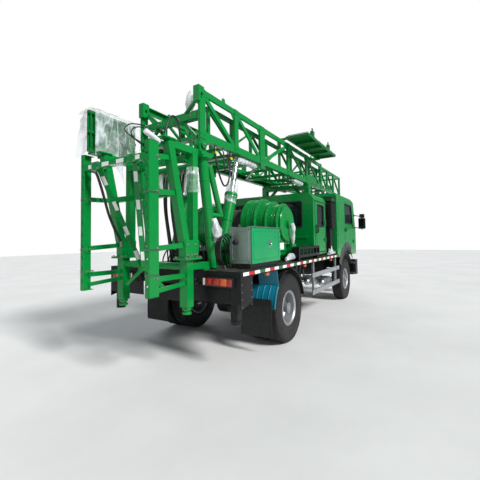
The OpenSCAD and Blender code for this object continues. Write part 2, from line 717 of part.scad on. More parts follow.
module cabin_door() color(green) placed() {
    difference() {
        block([cabin_door_x[0] + door_gap, -house_w/2, cabin_door_z[0] + door_gap],
              [cabin_door_x[1] - door_gap, -house_w/2 + house_wall, cabin_door_z[1] - 60 - door_gap]);
        cabin_door_window(0);
    }
    for (z = [cabin_door_z[0] + 200, cabin_door_z[1] - 560]) {
        hinge_sleeve(cabin_door_x[1] + 4, -house_w/2 - hinge_out, z, 110);
        difference() {
            block([cabin_door_x[1] - 40, -house_w/2 - hinge_out - 4, z + 14], [cabin_door_x[1] + 4, -house_w/2 + 1, z + 96]);
            translate([cabin_door_x[1] + 4, -house_w/2 - hinge_out, z]) cylinder(r = 5 + run_gap, h = 110, $fn = 24);
            block([cabin_door_x[1] - door_gap, -house_w/2 - 1, z], [cabin_door_x[1] + 20, -house_w/2 + 2, z + 110]);
        }
    }
    // Handle
    block([cabin_door_x[0] + 40, -house_w/2 - 40, 1780], [cabin_door_x[0] + 60, -house_w/2 + 1, 1800]);
    block([cabin_door_x[0] + 40, -house_w/2 - 40, 1780], [cabin_door_x[0] + 60, -house_w/2 - 25, 1920]);
    block([cabin_door_x[0] + 40, -house_w/2 - 40, 1900], [cabin_door_x[0] + 60, -house_w/2 + 1, 1920]);
}

module cabin_door_window(t) {
    y0 = t > 0 ? -house_w/2 + house_wall/2 - t/2 : -house_w/2 - 1;
    y1 = t > 0 ? -house_w/2 + house_wall/2 + t/2 : -house_w/2 + house_wall + 1;
    block([cabin_door_x[0] + 160, y0, house_win_z[0] + 10], [cabin_door_x[1] - 110, y1, house_win_z[1] - 60]);
}

module cabin_door_glass() color(glass) placed() cabin_door_window(6);

// Cab doors

module cab_door(side) color(green) placed() {
    difference() {
        intersection() {
            difference() {
                cab_solid(0);
                cab_solid(cab_wall);
            }
            door_prism(side, door_gap);
        }
        plate_xz(door_window, -big, big);
    }
    on_side(side) {
        for (z = hinge_z) {
            hinge_sleeve(door_x1 + 4, cab_w/2 + hinge_out, z, 110);
            difference() {
                block([door_x1 - 40, cab_w/2 - 1, z + 14], [door_x1 + 4, cab_w/2 + hinge_out + 4, z + 96]);
                translate([door_x1 + 4, cab_w/2 + hinge_out, z]) cylinder(r = 5 + run_gap, h = 110, $fn = 24);
                block([door_x1 - door_gap, cab_w/2 - 2, z], [door_x1 + 20, cab_w/2 + 1, z + 110]);
            }
        }
        block([door_x0 + 60, cab_w/2 - 1, belt_z - 190], [door_x0 + 220, cab_w/2 + 22, belt_z - 150]);
    }
}

module cab_door_glass(side) color(glass) placed() intersection() {
    cab_pane();
    plate_xz(door_window, side > 0 ? 400 : -cab_w, side > 0 ? cab_w : -400);
}

// Wheels

// Half section of a tyre round its own middle plane: radius, offset
function tyre_section() = [
    [rim_d/2, -tyre_w/2 + 25], [rim_d/2 + 60, -tyre_w/2 + 6], [rim_d/2 + 130, -tyre_w/2], [tyre_r - 70, -tyre_w/2 + 6],
    [tyre_r - 18, -tyre_w/2 + 30], [tyre_r, -tyre_w/2 + 52], [tyre_r, tyre_w/2 - 52], [tyre_r - 18, tyre_w/2 - 30],
    [tyre_r - 70, tyre_w/2 - 6], [rim_d/2 + 130, tyre_w/2], [rim_d/2 + 60, tyre_w/2 - 6], [rim_d/2, tyre_w/2 - 25],
    [rim_d/2, tyre_w/2 - 60], [rim_d/2 + 60, tyre_w/2 - 40], [rim_d/2 + 60, -tyre_w/2 + 40], [rim_d/2, -tyre_w/2 + 60]];

module tyre(x, y) translate([x, y, axle_z]) rotate([-90, 0, 0])
    rotate_extrude($fn = 96) polygon(tyre_section());

// Rim barrel and disc; the disc's hub face looks along +Y at offset dish
rim_t = 12;
module rim(x, y, dish, hub_r, stud_pcd) translate([x, y, axle_z]) rotate([-90, 0, 0]) difference() {
    union() {
        rotate_extrude($fn = 96) polygon([
            [rim_d/2 - 30, -tyre_w/2 + 60], [rim_d/2, -tyre_w/2 + 60], [rim_d/2, -tyre_w/2 + 25],
            [rim_d/2 - 18, -tyre_w/2 + 17], [rim_d/2 - 42, -tyre_w/2 + 40],
            [rim_d/2 - 42, tyre_w/2 - 40], [rim_d/2 - 18, tyre_w/2 - 17], [rim_d/2, tyre_w/2 - 25],
            [rim_d/2, tyre_w/2 - 60], [rim_d/2 - 30, tyre_w/2 - 60]]);
        rotate_extrude($fn = 96) polygon([
            [hub_r, dish], [rim_d/2 - 120, dish], [rim_d/2 - 41, dish*0.35 - 14],
            [rim_d/2 - 41, dish*0.35 + 8], [rim_d/2 - 114, dish + rim_t + 4], [hub_r, dish + rim_t + 4]]);
        for (k = [0:9]) rotate([0, 0, 36*k]) translate([stud_pcd/2, 0, dish]) cylinder(r = 16, h = 38, $fn = 24);
    }
    for (k = [0:7]) rotate([0, 0, 45*k + 22.5])
        translate([rim_d/2 - 90, 0, -tyre_w]) cylinder(r = 22, h = 2*tyre_w, $fn = 24);
}

stud_pcd = 335 - 60;
hub_bore = spindle_d/2 + run_gap;

// Hub: a stepped cylinder with the spindle's bore, wide from y0 to y1 and narrow to y2
module hub(x, y0, y1, y2, r) translate([x, y0, axle_z]) rotate([-90, 0, 0]) difference() {
    union() {
        cylinder(r = r, h = y1 - y0, $fn = 64);
        cylinder(r = r*0.72, h = y2 - y0, $fn = 64);
    }
    translate([0, 0, -1]) cylinder(r = hub_bore, h = y2 - y0 - 19, $fn = 64);
}

module tyre_front(side) color(rubber) placed() on_side(side) tyre(front_x, front_tyre_y);
module tyre_rear(side) color(rubber) placed() on_side(side) for (y = rear_tyre_y) tyre(0, y);

front_hub_y0 = kingpin_y + 70;
front_dish = 40;
rear_dish = 2 - (tyre_w + twin_gap)/2;
module rim_front(side) color(silver) placed() on_side(side) {
    rim(front_x, front_tyre_y, front_dish, 90, stud_pcd);
    hub(front_x, front_hub_y0, front_tyre_y + front_dish + 30, front_tyre_y + 118, 100);
}

rear_hub_y0 = rear_tyre_y[1] - tyre_w/2 + 20;
module rim_rear(side) color(silver) placed() on_side(side) {
    rim(0, rear_tyre_y[0], rear_dish, 90, stud_pcd);
    translate([0, 2*rear_tyre_y[1], 0]) mirror([0, 1, 0]) rim(0, rear_tyre_y[1], rear_dish, 90, stud_pcd);
    hub(0, rear_hub_y0, rear_tyre_y[0] - 60, rear_w/2 - 30, 110);
}

// Steering knuckle: two arms round the axle's end, its pin and its spindle
arm_x = 170;
module knuckle(side) color(grey) placed() on_side(side) {
    translate([front_x, kingpin_y, axle_z - 90]) cylinder(r = 20, h = 180, $fn = 48);
    for (z = [axle_z - 90, axle_z + 55 + run_gap])
        translate([front_x, kingpin_y, z]) cylinder(r = 45, h = 35 - run_gap, $fn = 48);
    block([front_x - 40, kingpin_y + 50, axle_z - 90], [front_x + 40, kingpin_y + 68, axle_z + 90]);
    difference() {
        block([front_x - 40, kingpin_y, axle_z - 90], [front_x + 40, kingpin_y + 52, axle_z + 90]);
        block([front_x - 41, kingpin_y - 1, axle_z - 55 - run_gap], [front_x + 41, kingpin_y + 53, axle_z + 55 + run_gap]);
    }
    y_bar(front_x, axle_z, spindle_d/2, kingpin_y + 67, front_tyre_y + 90);
    block([front_x - arm_x - 25, kingpin_y - 70, axle_z - 90], [front_x - 30, kingpin_y - 25, axle_z - 65]);
    block([front_x - 60, kingpin_y - 60, axle_z - 90], [front_x, kingpin_y - 10, axle_z - 65]);
}

module track_rod() color(grey) placed() {
    z = axle_z - 90 - 26 - run_gap;
    tube([front_x - arm_x, -kingpin_y + 48, z], [front_x - arm_x, kingpin_y - 48, z], 20);
    both_sides() translate([front_x - arm_x, kingpin_y - 48, z - 26]) cylinder(r = 26, h = 52, $fn = 32);
}

// Drawworks

guard_steps = [
    // radius, near Y, far Y
    [guard_r, 330, 620], [guard_r - 60, 620, 800], [guard_r - 110, 800, 985]];
drawworks_base_z = deck_z + 180;
module drawworks_guard() color(green) placed() {
    difference() {
        both_sides() {
            for (g = guard_steps) y_bar(drum_x, drum_z, g[0], g[1], g[2], 96);
            for (g = guard_steps) y_bar(drum_x, drum_z, g[0] + 14, g[2] - 20, g[2], 96);
            y_bar(drum_x + 20, drum_z, 300, 985, 1030, 72);
            y_bar(drum_x + 20, drum_z, 70, 1030, 1080, 48);
            plate_xz([[drum_x - 200, drawworks_base_z], [drum_x + 260, drawworks_base_z],
                      [drum_x + 200, drum_z], [drum_x - 140, drum_z]], 360, 960);
        }
        y_bar(drum_x, drum_z, shaft_d/2 + run_gap, -900, 900, 64);
        both_sides() y_bar(drum_x, drum_z, guard_r - 40, 329, 345, 96);
    }
}

module drawworks_frame() color(green) placed() {
    for (x = [drum_x - 520, drum_x + 420])
        block([x, -1000, deck_z], [x + 100, 1000, deck_z + 120]);
    both_sides() {
        for (y = [340, 880])
            plate_xz([[drum_x - 500, deck_z + 119], [drum_x + 500, deck_z + 119], [drum_x + 300, drawworks_base_z],
                      [drum_x - 260, drawworks_base_z]], y, y + 60);
        block([drum_x + 120, 930, deck_z + 119], [drum_x + 330, 1060, drawworks_base_z]);
        block([drum_x + 120, 970, drawworks_base_z - 1], [drum_x + 330, 1060, deck_z + 300]);
    }
}

module rope_drum() color(black) placed() {
    y_bar(drum_x, drum_z, shaft_d/2, -600, 600, 64);
    y_bar(drum_x, drum_z, 250, -300, 300, 72);
    for (k = [0:11]) y_bar(drum_x, drum_z, 300, -276 + k*47, -244 + k*47, 48);
    both_sides() y_bar(drum_x, drum_z, 410, 290, 310, 72);
}

cabinet_x = [-1190, -1190 + cabinet_len];
cabinet_y = [-deck_w/2 + 40, -deck_w/2 + 40 + cabinet_deep];
cabinet_z = [deck_z + 70, deck_z + 70 + cabinet_h];
panel_t = 4;
module electric_cabinet() placed() {
    color(steel) difference() {
        block([cabinet_x[0], cabinet_y[0] + 22, cabinet_z[0]], [cabinet_x[1], cabinet_y[1], cabinet_z[1]]);
        block([cabinet_x[0] + panel_t, cabinet_y[0] - 1, cabinet_z[0] + panel_t], [cabinet_x[1] - panel_t, cabinet_y[1] - panel_t, cabinet_z[1] - panel_t]);
    }
    color(black) {
        block([cabinet_x[0] + 20, cabinet_y[0] + 40, deck_z], [cabinet_x[1] - 20, cabinet_y[1] - 20, cabinet_z[0]]);
        translate([cabinet_x[0], cabinet_y[0] + 250, cabinet_z[0] + 290]) rotate([0, -90, 0]) cylinder(r = 30, h = 36, $fn = 32);
    }
    color(steel) {
        block([cabinet_x[0] + 60, cabinet_y[1] - 24, cabinet_z[0] + 60], [cabinet_x[1] - 60, cabinet_y[1] - 3.9, cabinet_z[1] - 60]);
        for (z = [cabinet_z[0] + 70, cabinet_z[1] - 180]) {
            hinge_post(cabinet_x[1] + 12, cabinet_y[0] + 8, z, 110);
            for (k = [0, 98]) block([cabinet_x[1] - 1, cabinet_y[0] + 2, z + k], [cabinet_x[1] + 12, cabinet_y[0] + 60, z + k + 12]);
        }
    }
}

module cabinet_door() color(green) placed() {
    difference() {
        block([cabinet_x[0], cabinet_y[0], cabinet_z[0]], [cabinet_x[1], cabinet_y[0] + 20, cabinet_z[1]]);
        block([cabinet_x[0] + 4, cabinet_y[0] + 4, cabinet_z[0] + 4], [cabinet_x[1] - 4, cabinet_y[0] + 21, cabinet_z[1] - 4]);
        for (z = [cabinet_z[0] + 70, cabinet_z[1] - 180]) block([cabinet_x[1] - 6, cabinet_y[0] - 1, z - 4], [cabinet_x[1] + 1, cabinet_y[0] + 21, z + 114]);
    }
    translate([cabinet_x[0] + 520, cabinet_y[0] + 1, cabinet_z[0] + 250]) rotate([90, 0, 0]) cylinder(r = 16, h = 22, $fn = 32);
    for (z = [cabinet_z[0] + 70, cabinet_z[1] - 180]) difference() {
        union() {
            hinge_sleeve(cabinet_x[1] + 12, cabinet_y[0] + 8, z, 110);
            block([cabinet_x[1] - 16, cabinet_y[0], z + 16], [cabinet_x[1] + 12, cabinet_y[0] + 6, z + 94]);
        }
        translate([cabinet_x[1] + 12, cabinet_y[0] + 8, z]) cylinder(r = 5 + run_gap, h = 110, $fn = 24);
    }
}

module tool_tray() color(black) placed() {
    x0 = 440;
    x1 = 1620;
    y0 = -deck_w/2 + 5;
    y1 = y0 + 130;
    difference() {
        block([x0, y0, deck_z + 60], [x1, y1, deck_z + 250]);
        block([x0 + 12, y0 + 12, deck_z + 80], [x1 - 12, y1 - 12, deck_z + 251]);
        for (x = [x0 + 60:190:x1 - 150]) block([x, y0 - 1, deck_z + 110], [x + 140, y1 + 5, deck_z + 210]);
    }
    for (x = [x0 + 40, x1 - 90]) block([x, y0 + 15, deck_z], [x + 50, y1 - 15, deck_z + 61]);
}

// Gantry: round legs, their braces and the mast's hinge cheeks
cheek_t = 20;
head_plate_r = 110;
head_plate_x = [-40, 20];
head_back = 150;
lug_t = 60;
lug_y = mast_w/2 - 30;
module gantry() color(green) placed() {
    leg_top = [pivot_x - 10, tail_y, pivot_z - 175];
    leg_foot = [pivot_x + 230, tail_y, deck_z];
    cheek_r = 75;
    both_sides() {
        difference() {
            tube(leg_top, leg_foot + 0.08*(leg_foot - leg_top), leg_d/2, 48);
            block([-big, -big, -big], [big, big, deck_z]);
        }
        tube([pivot_x + 70, tail_y + 60, pivot_z - 280], [pivot_x + 330, tail_y + 60, deck_z + 730], 42);
        tube([pivot_x + 110, tail_y, deck_z + 740], [pivot_x + 330, tail_y + 60, deck_z + 740], 36);
        tube([pivot_x + 10, tail_y, pivot_z - 300], [pivot_x + 78, tail_y + 60, pivot_z - 300], 36);
        translate([leg_foot[0] - 5, tail_y, deck_z]) cylinder(r = leg_d/2 + 40, h = 16, $fn = 48);
        // Oval head plate and the hinge cheeks on it
        translate([pivot_x, tail_y, pivot_z - 190]) {
            for (x = head_plate_x) translate([x, 0, 0]) cylinder(r = head_plate_r, h = 24, $fn = 48);
            block([head_plate_x[0], -head_plate_r, 0], [head_plate_x[1], head_plate_r, 24]);
        }
        for (y = [lug_y - lug_t/2 - cheek_t - run_gap, lug_y + lug_t/2 + run_gap]) {
            difference() {
                union() {
                    y_bar(pivot_x, pivot_z, cheek_r, y, y + cheek_t);
                    block([pivot_x - cheek_r, y, pivot_z - 167], [pivot_x + cheek_r, y + cheek_t, pivot_z]);
                }
                y_bar(pivot_x, pivot_z, pivot_d/2 + run_gap, y - 1, y + cheek_t + 1, 64);
            }
        }
        block([pivot_x - head_back, tail_y - 100, pivot_z - 167], [pivot_x + 100, tail_y + 100, pivot_z - 120]);
    }
    // Cross tube between the two legs
    tube([pivot_x + 20, -tail_y, pivot_z - 260], [pivot_x + 20, tail_y, pivot_z - 260], 45);
    both_sides() ram_bracket();
}

// Cheeks on the deck for a ram's lower pin, with the pin in them
ram_eye_hw = 35;
module ram_bracket() {
    for (y = [ram_y - ram_eye_hw - 16 - run_gap, ram_y + ram_eye_hw + run_gap]) {
        y_bar(ram_x, ram_z, 40, y, y + 16);
        plate_xz([[ram_x - 90, deck_z], [ram_x + 90, deck_z], [ram_x + 60, ram_z - 50], [ram_x + 38, ram_z],
                  [ram_x - 38, ram_z], [ram_x - 60, ram_z - 50]], y, y + 16);
    }
    y_bar(ram_x, ram_z, 25, ram_y - ram_eye_hw - 30, ram_y + ram_eye_hw + 30);
    block([ram_x - 110, ram_y - 110, deck_z], [ram_x + 110, ram_y + 110, deck_z + 16]);
}

// Tail frames: on each side a V of square arms on a column with a screw foot
arm_foot_z = 1600;
column_x = -1820;
beam_z = pivot_z - 150;
beam_hw = arm_w/2 - 4;
rear_arm_x = -2140;
front_arm_x = -1690;
module tail_frame_side() {
    strut([column_x - 30, tail_y, arm_foot_z - 40], [rear_arm_x, tail_y, beam_z + 30], arm_w, arm_w);
    strut([column_x + 120, tail_y, arm_foot_z - 20], [front_arm_x, tail_y, beam_z], arm_w, arm_w);
    block([rear_arm_x - 20, tail_y - beam_hw, beam_z - 35], [pivot_x - head_back, tail_y + beam_hw, beam_z + 55]);
    // Landing plate for the raised mast
    block([rear_arm_x - 120, tail_y - 65, beam_z + 54], [rear_arm_x + 80, tail_y + 65, beam_z + 72]);
    // Gusset box, flange plate and column
    plate_xz([[column_x - 75, 1430], [column_x + 165, 1430], [column_x + 180, arm_foot_z + 60], [column_x - 85, arm_foot_z + 60]],
             tail_y - arm_w/2 - 8, tail_y + arm_w/2 + 8);
    block([column_x - 130, tail_y - 105, 1415], [column_x + 185, tail_y + 105, 1440]);
    difference() {
        block([column_x - column_w/2, tail_y - column_w/2, 830], [column_x + column_w/2, tail_y + column_w/2, 1416]);
        translate([column_x, tail_y, 700]) cylinder(r = foot_d/2 + run_gap, h = 660, $fn = 48);
    }
    // Link to the truck's rear cross beam
    block([column_x + column_w/2 - 1, tail_y - 52, 1285], [-deck_rear + 150, tail_y + 52, 1365]);
    block([-deck_rear + 30, tail_y - 60, deck_z], [-deck_rear + 150, tail_y + 60, 1290]);
}

// Hinge plates and pins for the folded work platform, on the left side's beam
platform_x0 = -2330;
platform_post = [platform_x0 + 160, platform_x0 + platform_len - 160];
hinge_y = platform_y + 45;
platform_hinge_z = beam_z + 30;
module platform_hinges() {
    for (x = [platform_post[0] + 50 + run_gap, platform_post[1] - 16 - run_gap]) {
        block([x, tail_y + beam_hw - 2, platform_hinge_z - 30], [x + 16, hinge_y + 20, platform_hinge_z + 20]);
        translate([x - 40, hinge_y, platform_hinge_z]) rotate([0, 90, 0]) cylinder(r = 10, h = 96, $fn = 32);
    }
}

module tail_frames() color(green) placed() {
    both_sides() tail_frame_side();
    tail_channels();
    platform_hinges();
    // Lateral beams between the two sides
    tube([column_x, -tail_y + column_w/2 - 12, 1330], [column_x, tail_y - column_w/2 + 12, 1330], 45);
    block([-1790, -tail_y + 40, beam_z - 120], [-1710, tail_y - 40, beam_z - 40]);
    strut([-2000, -tail_y + 40, 2230], [-2000, tail_y - 40, 2230], 70, 70);
}

// Perforated channels, the rungs to the tail frames and the striped braces
rung_z = [
    // height at the channel, X and height at the tail frame
    [2610, -2110, 2640], [2210, -2015, 2225], [1570, -1870, 1600], [1230, -1868, 1225], [1100, -1868, 1130]];
first_hole = 120;
module tail_channels() {
    x0 = tail_end;
    both_sides() {
        difference() {
            block([x0, tail_y - 35, channel_z0], [x0 + channel_w, tail_y + 35, channel_z0 + channel_len]);
            block([x0 + 10, tail_y - 36, channel_z0 - 1], [x0 + channel_w + 1, tail_y + 25, channel_z0 + channel_len + 1]);
            for (k = [0:hole_count - 1])
                translate([x0 - 1, tail_y - 5, channel_z0 + first_hole + k*hole_pitch])
                    rotate([0, 90, 0]) cylinder(r = hole_d/2, h = 12, $fn = 32);
        }
        for (r = rung_z)
            strut([x0 + channel_w - 40, tail_y + 18, r[0]], [r[1], tail_y + 18, r[2]], 20, r[0] < 1200 ? 50 : 60);
    }
    // Lateral bar at the top and two braces down to a centre shoe
    block([x0, -tail_y + 30, 2560], [x0 + 60, tail_y - 30, 2640]);
    both_sides() strut([x0 + 60, 330, 2565], [column_x - 175, 20, 1330], 60, 60);
    block([column_x - 200, -60, 1270], [column_x - 100, 60, 1400]);
    block([column_x - 101, -60, 1290], [column_x - 30, 60, 1370]);
    both_sides() tube([column_x - 150, 30, 1290], [column_x - 150, 330, 1080], 26);
}

// Mast rest behind the cab
rest_x = [2720, 2880];
module mast_rest() color(green) placed() {
    both_sides() block([rest_x[0], 520, deck_z], [rest_x[1], 640, mast_z0 - 130]);
    block([rest_x[0], -640, mast_z0 - 130], [rest_x[1], 640, mast_z0 - 30]);
    both_sides() block([rest_x[0] - 20, chord_y - 40, mast_z0 - 31], [rest_x[1] + 20, mast_w/2 + 40, mast_z0 - run_gap]);
    both_sides() strut([rest_x[0] + 80, 580, 2600], [rest_x[0] + 80, 260, mast_z0 - 110], 60, 60);
}

// Mast, lower section

post_x = [
    // X of a post's middle, its width along the mast
    [mast_x0 + 60, 120], [-560, 110], [360, 190], [1620, 120], [2800, 120], [mast_x1 - 60, 120]];
module mast_lower() color(green) placed() {
    both_sides() {
        // Chords, posts and the landing lugs with their bores
        c_rail(mast_x0, mast_x1, mast_w/2, mast_z0, chord_h, chord_w, 12);
        difference() {
            union() {
                block([mast_x0, mast_w/2 - 34, mast_z1 - 90], [mast_x1, mast_w/2, mast_z1]);
                block([mast_x0, mast_w/2 - chord_w, mast_z1 - 16], [mast_x1, mast_w/2, mast_z1]);
                for (p = post_x)
                    block([p[0] - p[1]/2, mast_w/2 - 34, mast_z0 + 10], [p[0] + p[1]/2, mast_w/2 + 8, mast_z1 + 2]);
                block([mast_x0 - 30, mast_w/2 - 90, mast_z1 - 190], [mast_x0 + 90, mast_w/2 + 9, mast_z1 + 30]);
            }
            y_bar(mast_x0 + 30, mast_z1 - 90, 26, mast_w/2 - 100, mast_w/2 + 20, 48);
        }
        block([post_x[2][0] - 95, mast_w/2 - 34, mast_z0 - 95], [post_x[2][0] + 95, mast_w/2 + 8, mast_z0 + 20]);
        // Diagonals of the side face
        for (d = [[0, 1, 1], [1, 2, 1], [2, 3, -1], [3, 4, 1], [4, 5, 1]]) {
            xa = post_x[d[0]][0] + post_x[d[0]][1]/2 - 45;
            xb = post_x[d[1]][0] - post_x[d[1]][1]/2 + 45;
            za = d[2] > 0 ? mast_z1 - 52 : mast_z0 + 70;
            zb = d[2] > 0 ? mast_z0 + 70 : mast_z1 - 52;
            strut([xa, mast_w/2 - 17, za], [xb, mast_w/2 - 17, zb], 28, 70);
        }
        // Saddle plate over the mast rest
        plate_xz([[2700, mast_z0], [3600, mast_z0], [3500, mast_z0 + 230], [2900, mast_z0 + 230]],
                 mast_w/2 - 2, mast_w/2 + 10);
        // Hinge lugs under the lower chords
        y_bar(pivot_x, pivot_z, 68, lug_y - lug_t/2, lug_y + lug_t/2);
        plate_xz([[pivot_x - 38, pivot_z], [pivot_x + 66, pivot_z], [pivot_x + 190, mast_z0 + 1],
                  [pivot_x - 38, mast_z0 + 1]], lug_y - lug_t/2, lug_y + lug_t/2);
        y_bar(pivot_x, pivot_z, pivot_d/2, lug_y - 70, lug_y + 70, 64);
        // Slide shoes that carry the upper section
        for (x = [mast_x0 + 900, mast_x0 + 2600, mast_x0 + 4000, mast_x1 - 300])
            block([x, inner_y - inner_chord, inner_z0 - 40 - run_gap], [x + 160, chord_y + 20, inner_z0 - run_gap]);
        // Clevis plates for the ram's eye and the pad that carries them
        block([ram_eye[0] - 50, ram_y - ram_eye_w/2 - 16 - run_gap, mast_z0 + 1], [ram_eye[0] + 50, chord_y + 20, mast_z0 + 11]);
        for (y = [ram_y - ram_eye_w/2 - 16 - run_gap, ram_y + ram_eye_w/2 + run_gap])
            plate_xz([[ram_eye[0] - 50, mast_z0 + 10], [ram_eye[0] + 50, mast_z0 + 10], [ram_eye[0] + 36, ram_eye[1] - 45],
                      [ram_eye[0] - 36, ram_eye[1] - 45]], y, y + 16);
    }
    // Bottom face, on the chords' lower flanges: cross bars and diagonals, the first bar with the rear frame
    bars = [mast_x0 + 60, ram_eye[0], 360, 1620, 2800, mast_x1 - 60];
    bar_z = mast_z0 + 12 + run_gap;
    for (x = bars) block([x - 45, -chord_y - 20, bar_z], [x + 45, chord_y + 20, mast_z0 + 62]);
    for (k = [0:4])
        strut([bars[k] + (k == 0 ? 70 : 30), (k % 2 == 0 ? -1 : 1)*(chord_y - 10), mast_z0 + 36],
              [bars[k + 1] - 30, (k % 2 == 0 ? 1 : -1)*(chord_y - 10), mast_z0 + 36], 50, 40);
    // Rear end frame: cross bar at mid height and its braces
    rear_y = mast_w/2 - 34 - run_gap;
    block([mast_x0 + 10, -rear_y, mast_z0 + 290], [mast_x0 + 90, rear_y, mast_z0 + 390]);
    both_sides() {
        strut([mast_x0 + 50, mast_w/2 - 118, mast_z1 - 150], [mast_x0 + 50, mast_w/2 - 330, mast_z0 + 385], 36, 36);
        strut([mast_x0 + 50, mast_w/2 - 330, mast_z0 + 295], [mast_x0 + 50, mast_w/2 - 110, mast_z0 + 50], 40, 40);
    }
}

// Mast, upper section

inner_x0 = mast_x0 + 360;
module mast_upper() color(green) placed() {
    panel = (mast_x1 - 40 - inner_x0)/8;
    bar_y = inner_y - inner_chord - run_gap;
    both_sides() {
        for (z = [inner_z0, inner_z1 - inner_chord])
            block([inner_x0, inner_y - inner_chord, z], [mast_x1 + 60, inner_y, z + inner_chord]);
        for (k = [0:8])
            block([inner_x0 + k*panel, inner_y - 50, inner_z0 + 5], [inner_x0 + k*panel + 50, inner_y - 5, inner_z1 - 5]);
        for (k = [0:7])
            strut([inner_x0 + k*panel + 30, inner_y - 28, (k % 2 == 0 ? inner_z1 - 40 : inner_z0 + 40)],
                  [inner_x0 + (k + 1)*panel + 20, inner_y - 28, (k % 2 == 0 ? inner_z0 + 40 : inner_z1 - 40)], 36, 36);
    }
    for (k = [0:8], z = [inner_z0 + 5, inner_z1 - 55])
        if (z < inner_z0 + 50 || k == 0 || k == 8)
            block([inner_x0 + k*panel, -bar_y, z], [inner_x0 + k*panel + 50, bar_y, z + 50]);
    crown_frame();
    board_arms();
}

// The crown: the upper section's wider end, past the lower section
crown_y = mast_w/2 - 60;
crown_z = [mast_z0 + 40, mast_z1 - 10];
crown_post = [80, 800, 1500, crown_len - 60];
sheave_x = crown_x - 330;
sheave_z = mast_z0 + 300;
module crown_frame() {
    x0 = mast_x1 + 60;
    both_sides() {
        for (z = [crown_z[0], crown_z[1] - 60])
            block([x0, crown_y - 60, z], [crown_x, crown_y, z + 60]);
        for (p = crown_post)
            block([mast_x1 + p - 20, crown_y - 55, crown_z[0] + 10], [mast_x1 + p + 60, crown_y - 5, crown_z[1] - 10]);
        for (k = [0:2])
            strut([mast_x1 + crown_post[k] + 30, crown_y - 30, crown_z[1] - 40],
                  [mast_x1 + crown_post[k + 1], crown_y - 30, crown_z[0] + 40], 40, 44);
        block([x0 - 1, inner_y - inner_chord, inner_z0], [x0 + 60, crown_y - 10, inner_z0 + 50]);
        block([x0 - 1, inner_y - inner_chord, inner_z1 - 50], [x0 + 60, crown_y - 10, inner_z1]);
        // Plates that carry the sheaves' shaft
        difference() {
            plate_xz([[sheave_x - 150, crown_z[0] + 30], [sheave_x + 200, crown_z[0] + 30],
                      [sheave_x + 120, sheave_z + 110], [sheave_x - 100, sheave_z + 110]], 230, 250);
            y_bar(sheave_x, sheave_z, 30 + run_gap, 200, 280, 48);
        }
    }
    bar_y = crown_y - 60 - run_gap;
    for (p = [crown_post[1], crown_post[2], crown_post[3]], z = [crown_z[0] + 5, crown_z[1] - 55])
        block([mast_x1 + p - 10, -bar_y, z], [mast_x1 + p + 50, bar_y, z + 50]);
    for (x = [sheave_x - 140, sheave_x + 110])
        block([x, -bar_y, crown_z[0] + 5], [x + 60, bar_y, crown_z[0] + 55]);
}

module crown_sheaves() color(grey) placed() {
    y_bar(sheave_x, sheave_z, 30, -248, 248, 48);
    for (y = [-170, 0, 170]) translate([sheave_x, y, sheave_z]) rotate([-90, 0, 0])
        rotate_extrude($fn = 72) polygon([[20, -26], [sheave_r, -26], [sheave_r - 30, 0], [sheave_r, 26], [20, 26]]);
}

// Arms from the upper section over the lower one's chord, and the board
board_x0 = 1430;
board_y = -mast_w/2 - 30;
board_pin_r = 15;
module board_arms() {
    for (x = [board_x0, board_x0 + board_len - 120]) {
        block([x, board_y + 20, mast_z1 + swing_gap + 30], [x + 60, -inner_y + inner_chord, mast_z1 + swing_gap + 70]);
        block([x, -inner_y, inner_z1 - 1], [x + 60, -inner_y + inner_chord, mast_z1 + swing_gap + 31]);
    }
    y_bar(board_x0 + 30, mast_z1 + swing_gap + 50, board_pin_r, board_y - 60, board_y + 21, 32);
    block([board_x0 + board_len - 120, board_y - 90, mast_z1 + swing_gap],
          [board_x0 + board_len - 60, board_y + 60, mast_z1 + swing_gap + 25 - run_gap]);
    block([board_x0 + board_len - 120, board_y + 20, mast_z1 + swing_gap],
          [board_x0 + board_len - 60, board_y + 60, mast_z1 + swing_gap + 31]);
}

rib_count = 5;
module racking_board() color(dark_green) placed() {
    x0 = board_x0 - 40;
    x1 = x0 + board_len;
    y1 = board_y - 4;
    y0 = y1 - board_w;
    z0 = mast_z1 + swing_gap + 25;
    difference() {
        union() {
            block([x0, y0, z0 + 44], [x1, y1, z0 + 52]);
            for (k = [0:rib_count - 1]) {
                x = x0 + k*(x1 - x0 - 40)/(rib_count - 1);
                block([x, y0, z0], [x + 40, y1, z0 + 45]);
            }
            for (y = [y0, y1 - 30]) block([x0, y, z0], [x1, y + 30, z0 + 45]);
            block([x0, y1 - 90, z0], [x0 + 120, y1, z0 + 50]);
            for (x = [x0 + 300, x0 + 1500]) block([x, y0, z0 + 51], [x + 110, y0 + 60, z0 + 170]);
        }
        y_bar(board_x0 + 30, mast_z1 + swing_gap + 50, board_pin_r + run_gap, y1 - 200, y1 + 10, 32);
    }
}

// Mast rams: barrel, middle stage and rod, drawn upright from the lower pin
module ram_frame(side) placed() on_side(side)
    translate([ram_x, ram_y, ram_z]) rotate([0, ram_tilt, 0]) children();

barrel_eye_r = 60;
module ram_barrel(side) color(green) {
    ram_frame(side) difference() {
        union() {
            translate([0, 0, 50]) cylinder(r = barrel_d/2, h = barrel_len - 50, $fn = 64);
            translate([0, 0, barrel_len - 60]) cylinder(r = barrel_d/2 + 16, h = 40, $fn = 64);
            translate([0, -ram_eye_hw, 0]) rotate([-90, 0, 0]) cylinder(r = barrel_eye_r, h = 2*ram_eye_hw, $fn = 48);
            block([-50, -ram_eye_hw, 0], [50, ram_eye_hw, 60]);
        }
        translate([0, 0, 90]) cylinder(r = sleeve_d/2 + run_gap, h = barrel_len, $fn = 64);
        translate([0, -40, 0]) rotate([-90, 0, 0]) cylinder(r = 25 + run_gap, h = 80, $fn = 48);
    }
}

